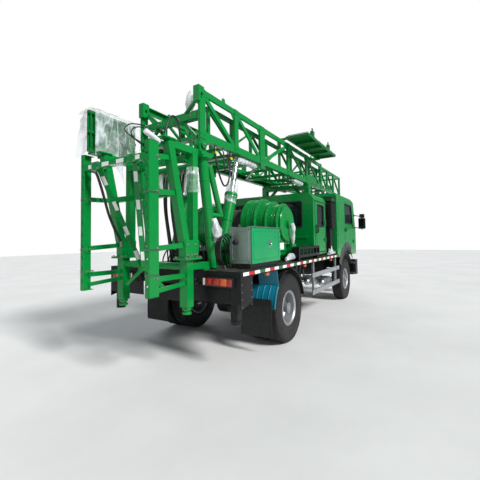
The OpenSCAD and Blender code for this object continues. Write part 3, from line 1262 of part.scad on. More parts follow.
sleeve_len = barrel_len - 60;
module ram_sleeve(side) color(steel) ram_frame(side) difference() {
    translate([0, 0, 95]) cylinder(r = sleeve_d/2, h = sleeve_len, $fn = 64);
    translate([0, 0, 125]) cylinder(r = rod_d/2 + run_gap, h = sleeve_len, $fn = 64);
}

module ram_rod(side) color(silver) ram_frame(side) difference() {
    union() {
        translate([0, 0, 130]) cylinder(r = rod_d/2, h = ram_rest - 195, $fn = 64);
        block([-35, -ram_eye_w/2, ram_rest - 66], [35, ram_eye_w/2, ram_rest - 20]);
        translate([0, -ram_eye_w/2, ram_rest]) rotate([-90, 0, 0]) cylinder(r = ram_eye_r, h = ram_eye_w, $fn = 48);
    }
    translate([0, -ram_eye_w/2 - 1, ram_rest]) rotate([-90, 0, 0]) cylinder(r = 22, h = ram_eye_w + 2, $fn = 48);
}

// Screw feet and rear jacks

module screw_foot(side) color(green) placed() on_side(side) {
    translate([column_x, tail_y, 770]) cylinder(r = foot_d/2, h = 580, $fn = 48);
    translate([column_x, tail_y, 745]) cylinder(r = foot_d/2 + 20, h = 26, $fn = 48);
}

module jack(side) color(black) placed() on_side(side) {
    block([jack_x - 50, jack_y - 50, 640], [jack_x + 50, jack_y + 50, deck_low - 40]);
    translate([jack_x, jack_y, 600]) cylinder(r = 70, h = 41, $fn = 48);
}

// Work platform, folded up against the left side of the tail frame
module work_platform() color(dark_green) placed() {
    x0 = platform_x0;
    x1 = x0 + platform_len;
    z0 = beam_z + 10;
    z1 = z0 + platform_h;
    for (x = platform_post) difference() {
        block([x, platform_y + 20, z0], [x + 50, platform_y + 70, z1]);
        translate([x - 1, hinge_y, platform_hinge_z]) rotate([0, 90, 0]) cylinder(r = 10 + run_gap, h = 52, $fn = 32);
    }
    for (z = [z0 + 70, z0 + platform_h/2, z1 - 50]) block([x0, platform_y + 25, z], [x1, platform_y + 65, z + 40]);
    block([x0, platform_y + 64, z0 + 65], [x1, platform_y + 74, z1 - 5]);
    block([x0 + 100, platform_y + 73, z0 + 65], [x1 - 100, platform_y + 200, z0 + 95]);
}

chassis_frame();
rear_axle();
front_axle();
engine_block();
fuel_tank();
air_tanks();
side_guards();
deck();
tail_box();
lamps();
mudguards();
cab_shell();
window_glass();
cab_interior();
cab_front();
cab_trim();
intake_stack();
cabin_shell();
drawworks_frame();
drawworks_guard();
electric_cabinet();
tool_tray();
gantry();
tail_frames();
mast_rest();
knuckle(1);  // knuckle_left
knuckle(-1);  // knuckle_right
track_rod();
tyre_front(1);  // tyre_front_left
tyre_front(-1);  // tyre_front_right
tyre_rear(1);  // tyre_rear_left
tyre_rear(-1);  // tyre_rear_right
rim_front(1);  // rim_front_left
rim_front(-1);  // rim_front_right
rim_rear(1);  // rim_rear_left
rim_rear(-1);  // rim_rear_right
cab_door(1);  // cab_door_left
cab_door(-1);  // cab_door_right
cab_door_glass(1);  // cab_door_glass_left
cab_door_glass(-1);  // cab_door_glass_right
cabin_door();
cabin_door_glass();
cabinet_door();
rope_drum();
mast_lower();
mast_upper();
crown_sheaves();
racking_board();
ram_barrel(1);  // ram_barrel_left
ram_barrel(-1);  // ram_barrel_right
ram_sleeve(1);  // ram_sleeve_left
ram_sleeve(-1);  // ram_sleeve_right
ram_rod(1);  // ram_rod_left
ram_rod(-1);  // ram_rod_right
screw_foot(1);  // screw_foot_left
screw_foot(-1);  // screw_foot_right
jack(1);  // jack_left
jack(-1);  // jack_right
work_platform();
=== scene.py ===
"""Looks of the truck-mounted workover rig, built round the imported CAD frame.

Metres, +X to the truck's front, +Y to its left, +Z up. Every x counts from the rear axle, as in
part.scad, and A(x, y, z), Build.prism and ring turn it into the frame's own x.
"""

import json
import math

import bmesh
import bpy
from mathutils import Matrix, Vector


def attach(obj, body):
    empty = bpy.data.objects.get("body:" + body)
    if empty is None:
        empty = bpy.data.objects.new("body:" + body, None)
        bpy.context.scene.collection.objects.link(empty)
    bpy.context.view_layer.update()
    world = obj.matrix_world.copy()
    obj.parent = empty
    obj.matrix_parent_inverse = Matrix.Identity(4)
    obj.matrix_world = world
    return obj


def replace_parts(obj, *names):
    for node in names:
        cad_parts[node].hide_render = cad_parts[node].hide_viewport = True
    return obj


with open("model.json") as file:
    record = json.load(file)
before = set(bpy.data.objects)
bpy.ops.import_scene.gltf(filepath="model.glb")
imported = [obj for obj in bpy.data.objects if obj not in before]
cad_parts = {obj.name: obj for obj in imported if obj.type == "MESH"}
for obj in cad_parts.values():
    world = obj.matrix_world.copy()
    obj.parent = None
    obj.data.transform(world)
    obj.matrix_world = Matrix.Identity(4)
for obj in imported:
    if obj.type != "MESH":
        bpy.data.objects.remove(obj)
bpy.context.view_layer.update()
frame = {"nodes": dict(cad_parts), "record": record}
NODES = frame["nodes"]
SLOT_OF = {s["node"]: s["material_slot"] for s in frame["record"]["subparts"]}
REAR_AXLE_X = -1.9675
SIDES = (("left", 1), ("right", -1))


def A(x, y, z):
    """A point whose x counts from the rear axle, in the CAD frame."""
    return Vector((x + REAR_AXLE_X, y, z))


# Materials

def srgb(r, g, b):
    """A colour given as 0-255 sRGB values, as linear RGBA."""
    out = []
    for c in (r, g, b):
        c /= 255
        out.append(c / 12.92 if c <= 0.04045 else ((c + 0.055) / 1.055) ** 2.4)
    return (*out, 1.0)


def scaled(colour, k):
    return (*[min(1.0, c * k) for c in colour[:3]], 1.0)


class Nodes:
    """A material's node tree with short calls for the nodes used here."""

    def __init__(self, name):
        self.mat = bpy.data.materials.new(name)
        self.mat.use_nodes = True
        self.tree = self.mat.node_tree
        self.bsdf = self.tree.nodes["Principled BSDF"]
        self.coords = self.tree.nodes.new("ShaderNodeTexCoord").outputs["Object"]

    def new(self, kind, **inputs):
        node = self.tree.nodes.new(kind)
        for key, value in inputs.items():
            self.put(node.inputs[key.replace("_", " ")], value)
        return node

    def put(self, socket, value):
        if isinstance(value, bpy.types.NodeSocket):
            self.tree.links.new(value, socket)
        else:
            socket.default_value = value

    def noise(self, scale, detail=3.0, roughness=0.6, coords=None):
        node = self.new("ShaderNodeTexNoise", Scale=scale, Detail=detail, Roughness=roughness)
        self.put(node.inputs["Vector"], coords or self.coords)
        return node.outputs["Fac"]

    def ramp(self, factor, low, high, a=0.0, b=1.0):
        node = self.new("ShaderNodeMapRange")
        self.put(node.inputs["Value"], factor)
        for key, value in (("From Min", low), ("From Max", high), ("To Min", a), ("To Max", b)):
            node.inputs[key].default_value = value
        return node.outputs["Result"]

    def mix(self, factor, a, b):
        node = self.tree.nodes.new("ShaderNodeMix")
        node.data_type = "RGBA"
        for socket, value in ((0, factor), (6, a), (7, b)):
            self.put(node.inputs[socket], value)
        return node.outputs[2]

    def math(self, kind, a, b=0.0):
        node = self.tree.nodes.new("ShaderNodeMath")
        node.operation = kind
        self.put(node.inputs[0], a)
        self.put(node.inputs[1], b)
        return node.outputs[0]

    def part(self, output, axis):
        """One axis of a vector, such as the Z of a normal."""
        node = self.new("ShaderNodeSeparateXYZ")
        self.put(node.inputs[0], output)
        return node.outputs[axis]

    def normal(self):
        return self.tree.nodes.new("ShaderNodeNewGeometry").outputs["Normal"]

    def bump(self, height, strength, distance, round_edges=0.0):
        node = self.new("ShaderNodeBump", Strength=strength, Distance=distance)
        self.put(node.inputs["Height"], height)
        if round_edges:
            bevel = self.new("ShaderNodeBevel", Radius=round_edges)
            bevel.samples = 4
            self.put(node.inputs["Normal"], bevel.outputs[0])
        self.put(self.bsdf.inputs["Normal"], node.outputs[0])

    def set(self, **values):
        for key, value in values.items():
            self.put(self.bsdf.inputs[key.replace("_", " ")], value)


DUST = srgb(150, 143, 128)


def paint(name, colour, rough=0.3, coat=0.35, dust=0.12, spread=0.1, metallic=0.0, peel=0.05,
          round_edges=0.003):
    """Sprayed enamel: slow colour drift, fine orange peel, and dust on what faces up and near the road."""
    n = Nodes(name)
    drift = n.ramp(n.noise(1.3, 4), 0.3, 0.7)
    base = n.mix(drift, scaled(colour, 1 - spread), scaled(colour, 1 + spread))
    up = n.ramp(n.part(n.normal(), 2), 0.35, 0.95)
    specks = n.ramp(n.noise(9, 6, 0.7), 0.42, 0.75)
    low = n.ramp(n.part(n.coords, 2), 1.2, 0.2, 0, 0.5)
    amount = n.math("MULTIPLY", n.math("ADD", n.math("MULTIPLY", up, 0.8), low), specks)
    amount = n.math("MULTIPLY", amount, dust * 2.2)
    n.set(Base_Color=n.mix(amount, base, DUST), Metallic=metallic, Coat_Weight=coat, Coat_Roughness=0.1,
          Specular_IOR_Level=0.24)
    n.set(Roughness=n.math("ADD", n.ramp(n.noise(6, 5), 0.3, 0.7, rough - 0.05, rough + 0.08), amount))
    n.bump(n.noise(260, 2), peel, 0.001, round_edges)
    return n.mat


def metal(name, colour, rough=0.35, brushed=0.0, metallic=1.0, grime=0.15):
    """Bare or plated metal, with fine scratches along X when brushed, and a little grime."""
    n = Nodes(name)
    grain = n.noise(40, 4)
    if brushed:
        stretch = n.new("ShaderNodeMapping")
        n.put(stretch.inputs["Vector"], n.coords)
        stretch.inputs["Scale"].default_value = (3, 260, 260)
        grain = n.noise(2.5, 6, 0.7, stretch.outputs[0])
    spots = n.ramp(n.noise(7, 6, 0.7), 0.45, 0.8, 0, grime)
    n.set(Base_Color=n.mix(spots, n.mix(grain, scaled(colour, 0.86), scaled(colour, 1.1)), scaled(DUST, 0.4)))
    n.set(Metallic=metallic, Roughness=n.math("ADD", n.ramp(grain, 0.3, 0.7, rough - 0.08, rough + 0.1),
                                              spots))
    n.bump(grain, 0.12 if brushed else 0.05, 0.0006, 0.002)
    return n.mat


def rubber(name, colour, rough=0.8, dust=0.35, fine=420):
    """Moulded rubber or plastic: fine grain and road dust low down."""
    n = Nodes(name)
    low = n.ramp(n.part(n.coords, 2), 1.1, 0.0, 0.1, 1.0)
    amount = n.math("MULTIPLY", n.math("MULTIPLY", n.ramp(n.noise(5, 7, 0.75), 0.38, 0.8), low), dust)
    n.set(Base_Color=n.mix(amount, n.mix(n.noise(30), scaled(colour, 0.8), scaled(colour, 1.25)),
                           scaled(DUST, 0.7)))
    n.set(Roughness=n.ramp(n.noise(12, 4), 0.3, 0.7, rough - 0.08, rough + 0.08))
    n.bump(n.noise(fine, 3), 0.15, 0.0006, 0.002)
    return n.mat


def clear(name, colour, alpha, rough=0.06):
    """Tinted glass that lets part of the light straight through, a little smudged."""
    n = Nodes(name)
    smudge = n.noise(14, 5)
    n.set(Base_Color=colour, Alpha=alpha, Roughness=n.ramp(smudge, 0.3, 0.7, rough, rough + 0.06))
    n.bump(smudge, 0.02, 0.001)
    n.mat.surface_render_method = "BLENDED"
    return n.mat


def film(name, colour, low, high, stretch=(6, 6, 1.6), folds=0.4):
    """Thin plastic film: haze between low and high; fold lines drawn more opaque, partly doubled film, partly
    painted highlight.
    """
    n = Nodes(name)
    lines = []
    for turn, wide in ((20, 0.03), (-42, 0.02)):
        mapping = n.new("ShaderNodeMapping")
        n.put(mapping.inputs["Vector"], n.coords)
        mapping.inputs["Rotation"].default_value = (math.radians(turn), math.radians(turn), 0)
        mapping.inputs["Scale"].default_value = stretch
        field = n.noise(1.0, 1.5, 0.45, mapping.outputs[0])
        lines.append(n.ramp(n.math("ABSOLUTE", n.math("SUBTRACT", field, 0.5)), 0.0, wide, 1.0, 0.0))
    lines = n.math("MAXIMUM", *lines)
    haze = n.ramp(n.noise(6, 2), 0.4, 0.6, low, high)
    # Fold lines add cover to the white film: partly doubled film, partly a painted highlight along each fold.
    haze = n.math("MINIMUM", n.math("ADD", haze, n.math("MULTIPLY", lines, folds)), 0.96)
    n.set(Base_Color=colour, Coat_Weight=0.5, Alpha=haze)
    n.set(Roughness=n.ramp(n.noise(14, 5), 0.3, 0.7, 0.14, 0.26))
    n.bump(n.math("ADD", lines, n.noise(8, 2)), 0.4, 0.004)
    n.mat.surface_render_method = "BLENDED"
    return n.mat


def lens(name, colour, glow=0.0):
    """A lamp's ribbed plastic lens."""
    n = Nodes(name)
    wave = n.new("ShaderNodeTexWave", Scale=60.0, Distortion=0.0)
    wave.bands_direction = "Z"
    n.put(wave.inputs["Vector"], n.coords)
    n.set(Base_Color=n.mix(wave.outputs["Fac"], scaled(colour, 0.75), colour), Roughness=0.12,
          Coat_Weight=0.6)
    n.set(Emission_Color=colour, Emission_Strength=glow)
    n.bump(wave.outputs["Fac"], 0.4, 0.002)
    return n.mat


# Columns: short name, material slot, maker, the material's name, sRGB colour, then the maker's own values
MATERIALS = (
    ("green", "green_paint", paint, "green_paint", (0, 130, 55), 0.26, 0.22, 0.04, 0.07, 0.0, 0.012),
    ("dark_green", "green_paint", paint, "board_green", (0, 108, 43), 0.36, 0.15, 0.05, 0.07, 0.0, 0.02),
    ("emerald", "green_paint", paint, "film_covered_green", (4, 146, 84), 0.3, 0.15, 0.03, 0.1, 0.0, 0.012),
    ("black", "black_paint", paint, "black_paint", (10, 11, 12), 0.42, 0.06, 0.1),
    ("deck", "black_paint", paint, "deck_black", (18, 19, 20), 0.55, 0.03, 0.22),
    ("iron", "grey_iron", paint, "cast_iron", (96, 99, 102), 0.6, 0.0, 0.3, 0.15, 0.4),
    ("steel", "cabinet_steel", metal, "cabinet_steel", (176, 180, 182), 0.34, 1.0),
    ("silver", "silver_metal", metal, "silver_metal", (196, 199, 202), 0.4),
    ("zinc", "silver_metal", metal, "zinc_plate", (150, 152, 150), 0.45),
    ("chrome", "rod_chrome", metal, "rod_chrome", (225, 227, 229), 0.12, 0, 1.0, 0.05),
    ("rim", "silver_metal", paint, "rim_silver", (168, 171, 175), 0.38, 0.2, 0.2, 0.08, 0.7),
    ("tyre", "tyre", rubber, "tyre_rubber", (22, 22, 24), 0.78, 0.16),
    ("rubber", "plastic", rubber, "black_rubber", (9, 10, 11), 0.65, 0.06),
    ("hose", "plastic", rubber, "hose_rubber", (24, 24, 26), 0.42, 0.12, 500),
    ("plastic", "plastic", rubber, "black_plastic", (19, 20, 22), 0.48, 0.1, 700),
    ("trim", "plastic", rubber, "grey_trim", (62, 66, 68), 0.6, 0.1, 600),
    ("cyan", "plastic", rubber, "cyan_plastic", (10, 118, 142), 0.35, 0.1, 300),
    ("glass", "window", clear, "tinted_glass", (30, 40, 43), 0.76),
    ("film", "window", film, "wrapping_film", (226, 236, 236), 0.16, 0.42),
    ("milky", "window", film, "milky_film", (228, 232, 234), 0.45, 0.8, (16, 16, 6), 0.25),
    ("pale_green", "window", film, "green_film", (118, 172, 132), 0.62, 0.85),
    ("red_lens", "lamp_plastic", lens, "red_lens", (158, 12, 12), 0.06),
    ("amber_lens", "lamp_plastic", lens, "amber_lens", (214, 84, 10), 0.06),
    ("white_lens", "lamp_plastic", lens, "white_lens", (226, 226, 220), 0.05),
    ("white", "lamp_plastic", paint, "white_tape", (232, 232, 228), 0.35, 0.2, 0.1, 0.03),
    ("red", "lamp_plastic", paint, "red_tape", (186, 24, 22), 0.35, 0.2, 0.1, 0.05),
    ("wrap", "plastic", rubber, "wrapped_rod", (214, 218, 220), 0.35, 0.05, 60),
    ("yellow", "plastic", paint, "yellow_tag", (214, 196, 20), 0.5, 0.05, 0.05),
    ("mirror", "window", metal, "mirror_glass", (58, 66, 72), 0.08, 0, 1.0, 0.05),
    ("rope", "grey_iron", metal, "wire_rope", (92, 90, 86), 0.5),
    ("seat", "plastic", rubber, "seat_cloth", (52, 54, 58), 0.9, 0.05, 900),
)
M = {key: maker(name, srgb(*colour), *rest) for key, slot, maker, name, colour, *rest in MATERIALS}
SLOT_MATERIAL = {"green_paint": "green", "black_paint": "black", "grey_iron": "iron",
                 "cabinet_steel": "steel", "silver_metal": "silver", "rod_chrome": "chrome", "tyre": "tyre",
                 "plastic": "plastic", "lamp_plastic": "red_lens", "window": "glass"}
NODE_MATERIAL = {"deck": "deck", "racking_board": "dark_green", "work_platform": "dark_green",
                 "fuel_tank": "silver", "rim_front_left": "rim", "rim_front_right": "rim",
                 "rim_rear_left": "rim", "rim_rear_right": "rim", "side_guards": "rim",
                 "cab_interior": "seat", "cabinet_door": "emerald"}
for node_name, node_object in NODES.items():
    for material_slot in node_object.material_slots:
        material_slot.material = M[NODE_MATERIAL.get(node_name) or SLOT_MATERIAL[SLOT_OF[node_name]]]


# Mesh building

BAR_FACES = ((0, 1, 2, 3), (7, 6, 5, 4), (0, 4, 5, 1), (1, 5, 6, 2), (2, 6, 7, 3), (3, 7, 4, 0))


def placed(p, axis, t):
    """The point whose other two axes are p and whose own is t, in the CAD frame."""
    out = list(p)
    out.insert(axis, t)
    return out[0] + REAR_AXLE_X, out[1], out[2]


def circle(radius, count, turn=0.0):
    """Places on a circle, as pairs; turn is in steps."""
    angles = [2 * math.pi * (k + turn) / count for k in range(count)]
    return [(radius * math.cos(a), radius * math.sin(a)) for a in angles]


class Build:
    """Collects boxes, tubes, plates and turned shapes into one mesh."""

    def __init__(self):
        self.verts = []
        self.faces = []

    def add(self, verts, faces):
        first = len(self.verts)
        self.verts += [tuple(v) for v in verts]
        self.faces += [[i + first for i in f] for f in faces]

    def box(self, p, q):
        """A box between any two opposite corners."""
        (a, d), (b, e), (c, f) = [sorted(pair) for pair in zip(p, q)]
        self.add([(a, b, c), (d, b, c), (d, e, c), (a, e, c), (a, b, f), (d, b, f), (d, e, f), (a, e, f)],
                 [[0, 3, 2, 1], [4, 5, 6, 7], [0, 1, 5, 4], [1, 2, 6, 5], [2, 3, 7, 6], [3, 0, 4, 7]])

    def prism(self, points, axis, a, b):
        """An outline pushed along an axis: the points are the other two axes, in X, Y, Z order."""
        k = len(points)
        self.add([placed(p, axis, t) for t in (a, b) for p in points],
                 [list(range(k))[::-1], [k + i for i in range(k)]]
                 + [[i, (i + 1) % k, k + (i + 1) % k, k + i] for i in range(k)])

    def bar(self, p, q, wide, deep, up=(0, 0, 1)):
        """A rectangular bar from p to q."""
        p, q = Vector(p), Vector(q)
        along = (q - p).normalized()
        side = along.cross(Vector(up))
        if side.length < 1e-4:
            side = along.cross(Vector((1, 0, 0)))
        side.normalize()
        top = side.cross(along)
        corners = [side * s * wide / 2 + top * t * deep / 2 for s, t in ((-1, -1), (1, -1), (1, 1), (-1, 1))]
        self.add([p + c for c in corners] + [q + c for c in corners], BAR_FACES)

    def tube(self, path, radius, sides=10, closed=False, caps=True):
        """A round tube along a path; radius is one number or one per point."""
        path = [Vector(p) for p in path]
        radii = radius if hasattr(radius, "__len__") else [radius] * len(path)
        count = len(path)
        lap = circle(1, sides)
        rings = []
        side = None
        for i, p in enumerate(path):
            before = path[i - 1] if closed or i else p
            after = path[(i + 1) % count] if closed or i < count - 1 else p
            along = (after - before).normalized()
            if side is None:
                side = along.orthogonal().normalized()
            side = (side - along * side.dot(along)).normalized()
            other = along.cross(side)
            rings.append([p + (side * c + other * t) * radii[i] for c, t in lap])
        faces = []
        for i in range(count if closed else count - 1):
            j = (i + 1) % count
            faces += [[i * sides + k, i * sides + (k + 1) % sides, j * sides + (k + 1) % sides, j * sides + k]
                      for k in range(sides)]
        if caps and not closed:
            faces += [list(range(sides))[::-1], [(count - 1) * sides + k for k in range(sides)]]
        self.add([v for ring in rings for v in ring], faces)

    def turn(self, profile, centre, axis, steps=48, closed=False):
        """A profile of (along, radius) pairs turned round an axis through centre."""
        centre, axis = Vector(centre), Vector(axis).normalized()
        side = axis.orthogonal().normalized()
        other = axis.cross(side)
        rows = len(profile)
        verts = []
        for c, t in circle(1, steps):
            verts += [centre + axis * a + (side * c + other * t) * r for a, r in profile]
        faces = []
        for k in range(steps):
            m = (k + 1) % steps
            for i in range(rows if closed else rows - 1):
                j = (i + 1) % rows
                faces.append([k * rows + i, m * rows + i, m * rows + j, k * rows + j])
        if not closed:
            faces += [[k * rows for k in range(steps)][::-1], [k * rows + rows - 1 for k in range(steps)]]
        self.add(verts, faces)

    def bolt(self, place, axis, size=0.02):
        """A hexagon head on a washer; the head is size across its corners."""
        place, axis = Vector(place), Vector(axis).normalized()
        self.turn([(0, size * 0.85), (size * 0.12, size * 0.85), (size * 0.12, 0.0005)], place, axis, 12)
        self.turn([(size * 0.12, size * 0.5), (size * 0.5, size * 0.5), (size * 0.55, size * 0.42)], place,
                  axis, 6)

    def bolts(self, xs, ys, zs, axis, size):
        """A bolt at each x, y and z."""
        for x in xs:
            for y in ys:
                for z in zs:
                    self.bolt(A(x, y, z), axis, size)

    def bolt_ring(self, x, y, z, radius, count, side, size, turn=0.0):
        """Bolts on a circle in an upright plane, facing along Y to the given side."""
        for dx, dz in circle(radius, count, turn):
            self.bolt(A(x + dx, y, z + dz), (0, side, 0), size)

    def band(self, centre, axis, half, low, high, steps=24):
        """A square ring from -half to half along an axis and from radius low to high."""
        self.turn([(-half, high), (-half, low), (half, low), (half, high)], centre, axis, steps, closed=True)

    def arch(self, x, z, outer, inner, a0, a1, steps, y0, y1):
        """A curved strip between two radii round an axis along Y."""
        self.prism(arc(x, z, outer, a0, a1, steps) + arc(x, z, inner, a1, a0, steps), 1, y0, y1)

    def make(self, name, material, bevel=0.0, body="truck", smooth=35):
        mesh = bpy.data.meshes.new(name)
        mesh.from_pydata(self.verts, [], self.faces)
        work = bmesh.new()
        work.from_mesh(mesh)
        bmesh.ops.recalc_face_normals(work, faces=work.faces)
        work.to_mesh(mesh)
        work.free()
        if smooth:
            mesh.shade_smooth()
            mesh.set_sharp_from_angle(angle=math.radians(smooth))
        mesh.materials.append(M[material])
        piece = bpy.data.objects.new(name, mesh)
        bpy.context.scene.collection.objects.link(piece)
        if bevel:
            rounding = piece.modifiers.new("bevel", "BEVEL")
            rounding.width = bevel
            rounding.segments = 2
            rounding.limit_method = "ANGLE"
            rounding.angle_limit = math.radians(40)
        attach(piece, body)
        return piece


def arc(cx, cz, r, a0, a1, n):
    """Points of an arc in a plane, for outlines, with angles in degrees."""
    return [(cx + r * math.cos(math.radians(a0 + (a1 - a0) * k / n)),
             cz + r * math.sin(math.radians(a0 + (a1 - a0) * k / n))) for k in range(n + 1)]


def curve_through(points, steps=8):
    """A smooth path through points, as a Catmull-Rom curve."""
    points = [Vector(p) for p in points]
    ends = [points[0] * 2 - points[1]] + points + [points[-1] * 2 - points[-2]]
    out = []
    for i in range(1, len(ends) - 2):
        p0, p1, p2, p3 = ends[i - 1:i + 3]
        for k in range(steps):
            t = k / steps
            out.append(0.5 * ((2 * p1) + (p2 - p0) * t + (2 * p0 - 5 * p1 + 4 * p2 - p3) * t * t
                              + (3 * p1 - p0 - 3 * p2 + p3) * t ** 3))
    return out + [points[-1]]


# Wheels

TYRE_R, TYRE_W, RIM_R = 0.54, 0.27, 0.28
AXLE_Z = 0.54
REAR_TYRES = (1.082, 0.762)
FRONT_TYRE = 1.001
FRONT_X = 4.2


def tyre(build, centre):
    """A truck tyre: carcass with rounded shoulders, ribs, cross grooves and rim flange."""
    half = TYRE_W / 2
    profile = [(-half + 0.027, RIM_R + 0.001), (-half + 0.012, RIM_R + 0.03), (-half + 0.003, RIM_R + 0.085),
               (-half, RIM_R + 0.13), (-half + 0.004, RIM_R + 0.175), (-half + 0.012, RIM_R + 0.21),
               (-half + 0.022, TYRE_R - 0.022), (-half + 0.03, TYRE_R - 0.011)]
    ribs = (-0.098, -0.052, -0.017, 0.017, 0.052, 0.098)
    tread = []
    for i in range(5):
        a, b = ribs[i] + 0.004, ribs[i + 1] - 0.004
        tread += [(a, TYRE_R - 0.014), (a + 0.002, TYRE_R - 0.001), (b - 0.002, TYRE_R - 0.001),
                  (b, TYRE_R - 0.014)]
    profile = profile + tread + [(-a, r) for a, r in reversed(profile)]
    profile += [(half - 0.06, RIM_R - 0.002), (-half + 0.06, RIM_R - 0.002)]
    build.turn(profile, centre, (0, 1, 0), 96, closed=True)
    blocks = 72
    for k in range(blocks):
        angle = 2 * math.pi * k / blocks
        for side in (-1, 1):
            spin = Matrix.Rotation(angle + side * 0.02, 3, "Y")
            low, high = side * 0.101, side * (half - 0.007)
            corners = []
            for y, r0, r1 in ((low, TYRE_R - 0.016, TYRE_R), (high, TYRE_R - 0.06, TYRE_R - 0.021)):
                for w in (-0.016, 0.016):
                    for r in (r0, r1):
                        corners.append(Vector(centre) + spin @ Vector((w, y, r)))
            build.add([corners[i] for i in (0, 1, 3, 2, 4, 5, 7, 6)], BAR_FACES)


def wheels():
    for name, s in SIDES:
        ends = (("front_" + name, FRONT_X, (FRONT_TYRE,), FRONT_TYRE + 0.04, FRONT_TYRE + 0.118),
                ("rear_" + name, 0.0, REAR_TYRES, REAR_TYRES[0] - 0.1, 1.187))
        for wheel, x, centres, face, hub in ends:
            build = Build()
            for y in centres:
                tyre(build, A(x, s * y, AXLE_Z))
            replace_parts(build.make("tread_" + wheel, "tyre", body="wheel_" + wheel), "tyre_" + wheel)
            build = Build()
            build.bolt_ring(x, s * (face + 0.03), AXLE_Z, 0.1375, 10, s, 0.034)
            build.bolt_ring(x, s * hub, AXLE_Z, 0.055, 8, s, 0.016)
            build.tube([A(x + 0.2, s * (face - 0.01), AXLE_Z + 0.02),
                        A(x + 0.205, s * (face + 0.04), AXLE_Z + 0.02),
                        A(x + 0.2, s * (face + 0.08), AXLE_Z + 0.025)], 0.005, 8)
            build.make("wheel_nuts_" + wheel, "zinc", body="wheel_" + wheel)


wheels()


# Outlines shared by trims and seals

def offset(outline, d):
    """A convex outline moved outwards by d."""
    area = sum(a[0] * b[1] - b[0] * a[1] for a, b in zip(outline, outline[1:] + outline[:1]))
    turn = 1 if area > 0 else -1
    out = []
    for i, p in enumerate(outline):
        before, after = Vector(outline[i - 1]), Vector(outline[(i + 1) % len(outline)])
        here = Vector(p)
        e0, e1 = (here - before).normalized(), (after - here).normalized()
        n0, n1 = Vector((e0.y, -e0.x)) * turn, Vector((e1.y, -e1.x)) * turn
        n = n0 + n1
        out.append(tuple(here + n * (2 * d / n.length_squared if n.length_squared > 1e-9 else d)))
    return out


def rounded(x0, x1, z0, z1, r, n=4):
    """A rectangle with round corners."""
    x0, x1 = sorted((x0, x1))
    return (arc(x1 - r, z0 + r, r, -90, 0, n) + arc(x1 - r, z1 - r, r, 0, 90, n)
            + arc(x0 + r, z1 - r, r, 90, 180, n) + arc(x0 + r, z0 + r, r, 180, 270, n))


def ring(build, outline, axis, a, b, out=0.012, inn=0.012):
    """A frame along an outline, from a to b along the axis."""
    outer, inner = offset(outline, out), offset(outline, -inn)
    k = len(outline)
    verts = [placed(p, axis, t) for t in (a, b) for loop in (outer, inner) for p in loop]
    faces = []
    for i in range(k):
        j = (i + 1) % k
        faces += [[i, j, k + j, k + i], [2 * k + i, 3 * k + i, 3 * k + j, 2 * k + j],
                  [i, 2 * k + i, 2 * k + j, j], [k + i, k + j, 3 * k + j, 3 * k + i]]
    build.add(verts, faces)


# Tail of the truck: lamps, mudguards, flaps, plate

DECK_REAR = -1.56
DECK_Z = 1.26


def tail_lamps():
    # The white and the amber cell are the lamp's own reversing and turn cells, but placed and sized on its
    # highlight and lit end, so they also paint that highlight.
    cells = (("white_lens", 0.672, 0.702), ("red_lens", 0.708, 0.8), ("red_lens", 0.806, 0.93),
             ("amber_lens", 0.936, 1.04), ("red_lens", 1.046, 1.118))
    for name, s in SIDES:
        build = Build()
        build.prism(rounded(s * 0.655, s * 1.135, 1.062, 1.188, 0.02), 0, DECK_REAR - 0.03, DECK_REAR)
        build.bolts([DECK_REAR - 0.03], [s * y for y in (0.70, 0.895, 1.09)], [1.072], (-1, 0, 0), 0.008)
        housing = build.make("lamp_housing_" + name, "plastic", 0.003)
        if s > 0:
            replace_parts(housing, "lamps")
        build = Build()
        ring(build, rounded(s * 0.668, s * 1.122, 1.075, 1.175, 0.015), 0, DECK_REAR - 0.042,
             DECK_REAR - 0.028, 0.006, 0.004)
        build.make("lamp_frame_" + name, "plastic", 0.001)
        for k, (material, y0, y1) in enumerate(cells):
            build = Build()
            outline = rounded(s * y0, s * y1, 1.079, 1.171, 0.01)
            loops = [(outline, -0.028), (outline, -0.04), (offset(outline, -0.006), -0.0435)]
            m = len(outline)
            faces = [[i + m * j, (i + 1) % m + m * j, (i + 1) % m + m * (j + 1), i + m * (j + 1)]
                     for j in range(2) for i in range(m)]
            build.add([placed(p, 0, DECK_REAR + x) for loop, x in loops for p in loop],
                      faces + [list(range(m)), [2 * m + i for i in range(m)]])
            build.make(f"lamp_cell_{name}_{k}", material)
        markers, clips = Build(), Build()
        for x in (-0.79, 0.76, 2.5):
            markers.box(A(x - 0.04, s * 1.175, 1.14), A(x + 0.04, s * 1.214, 1.186))
            clips.bar(A(x - 0.048, s * 1.195, 1.188), A(x + 0.048, s * 1.195, 1.188), 0.05, 0.005)
            clips.bolt(A(x, s * 1.2145, 1.163), (0, s, 0), 0.008)
        markers.make("side_markers_" + name, "amber_lens", 0.006)
        clips.make("marker_clips_" + name, "plastic")


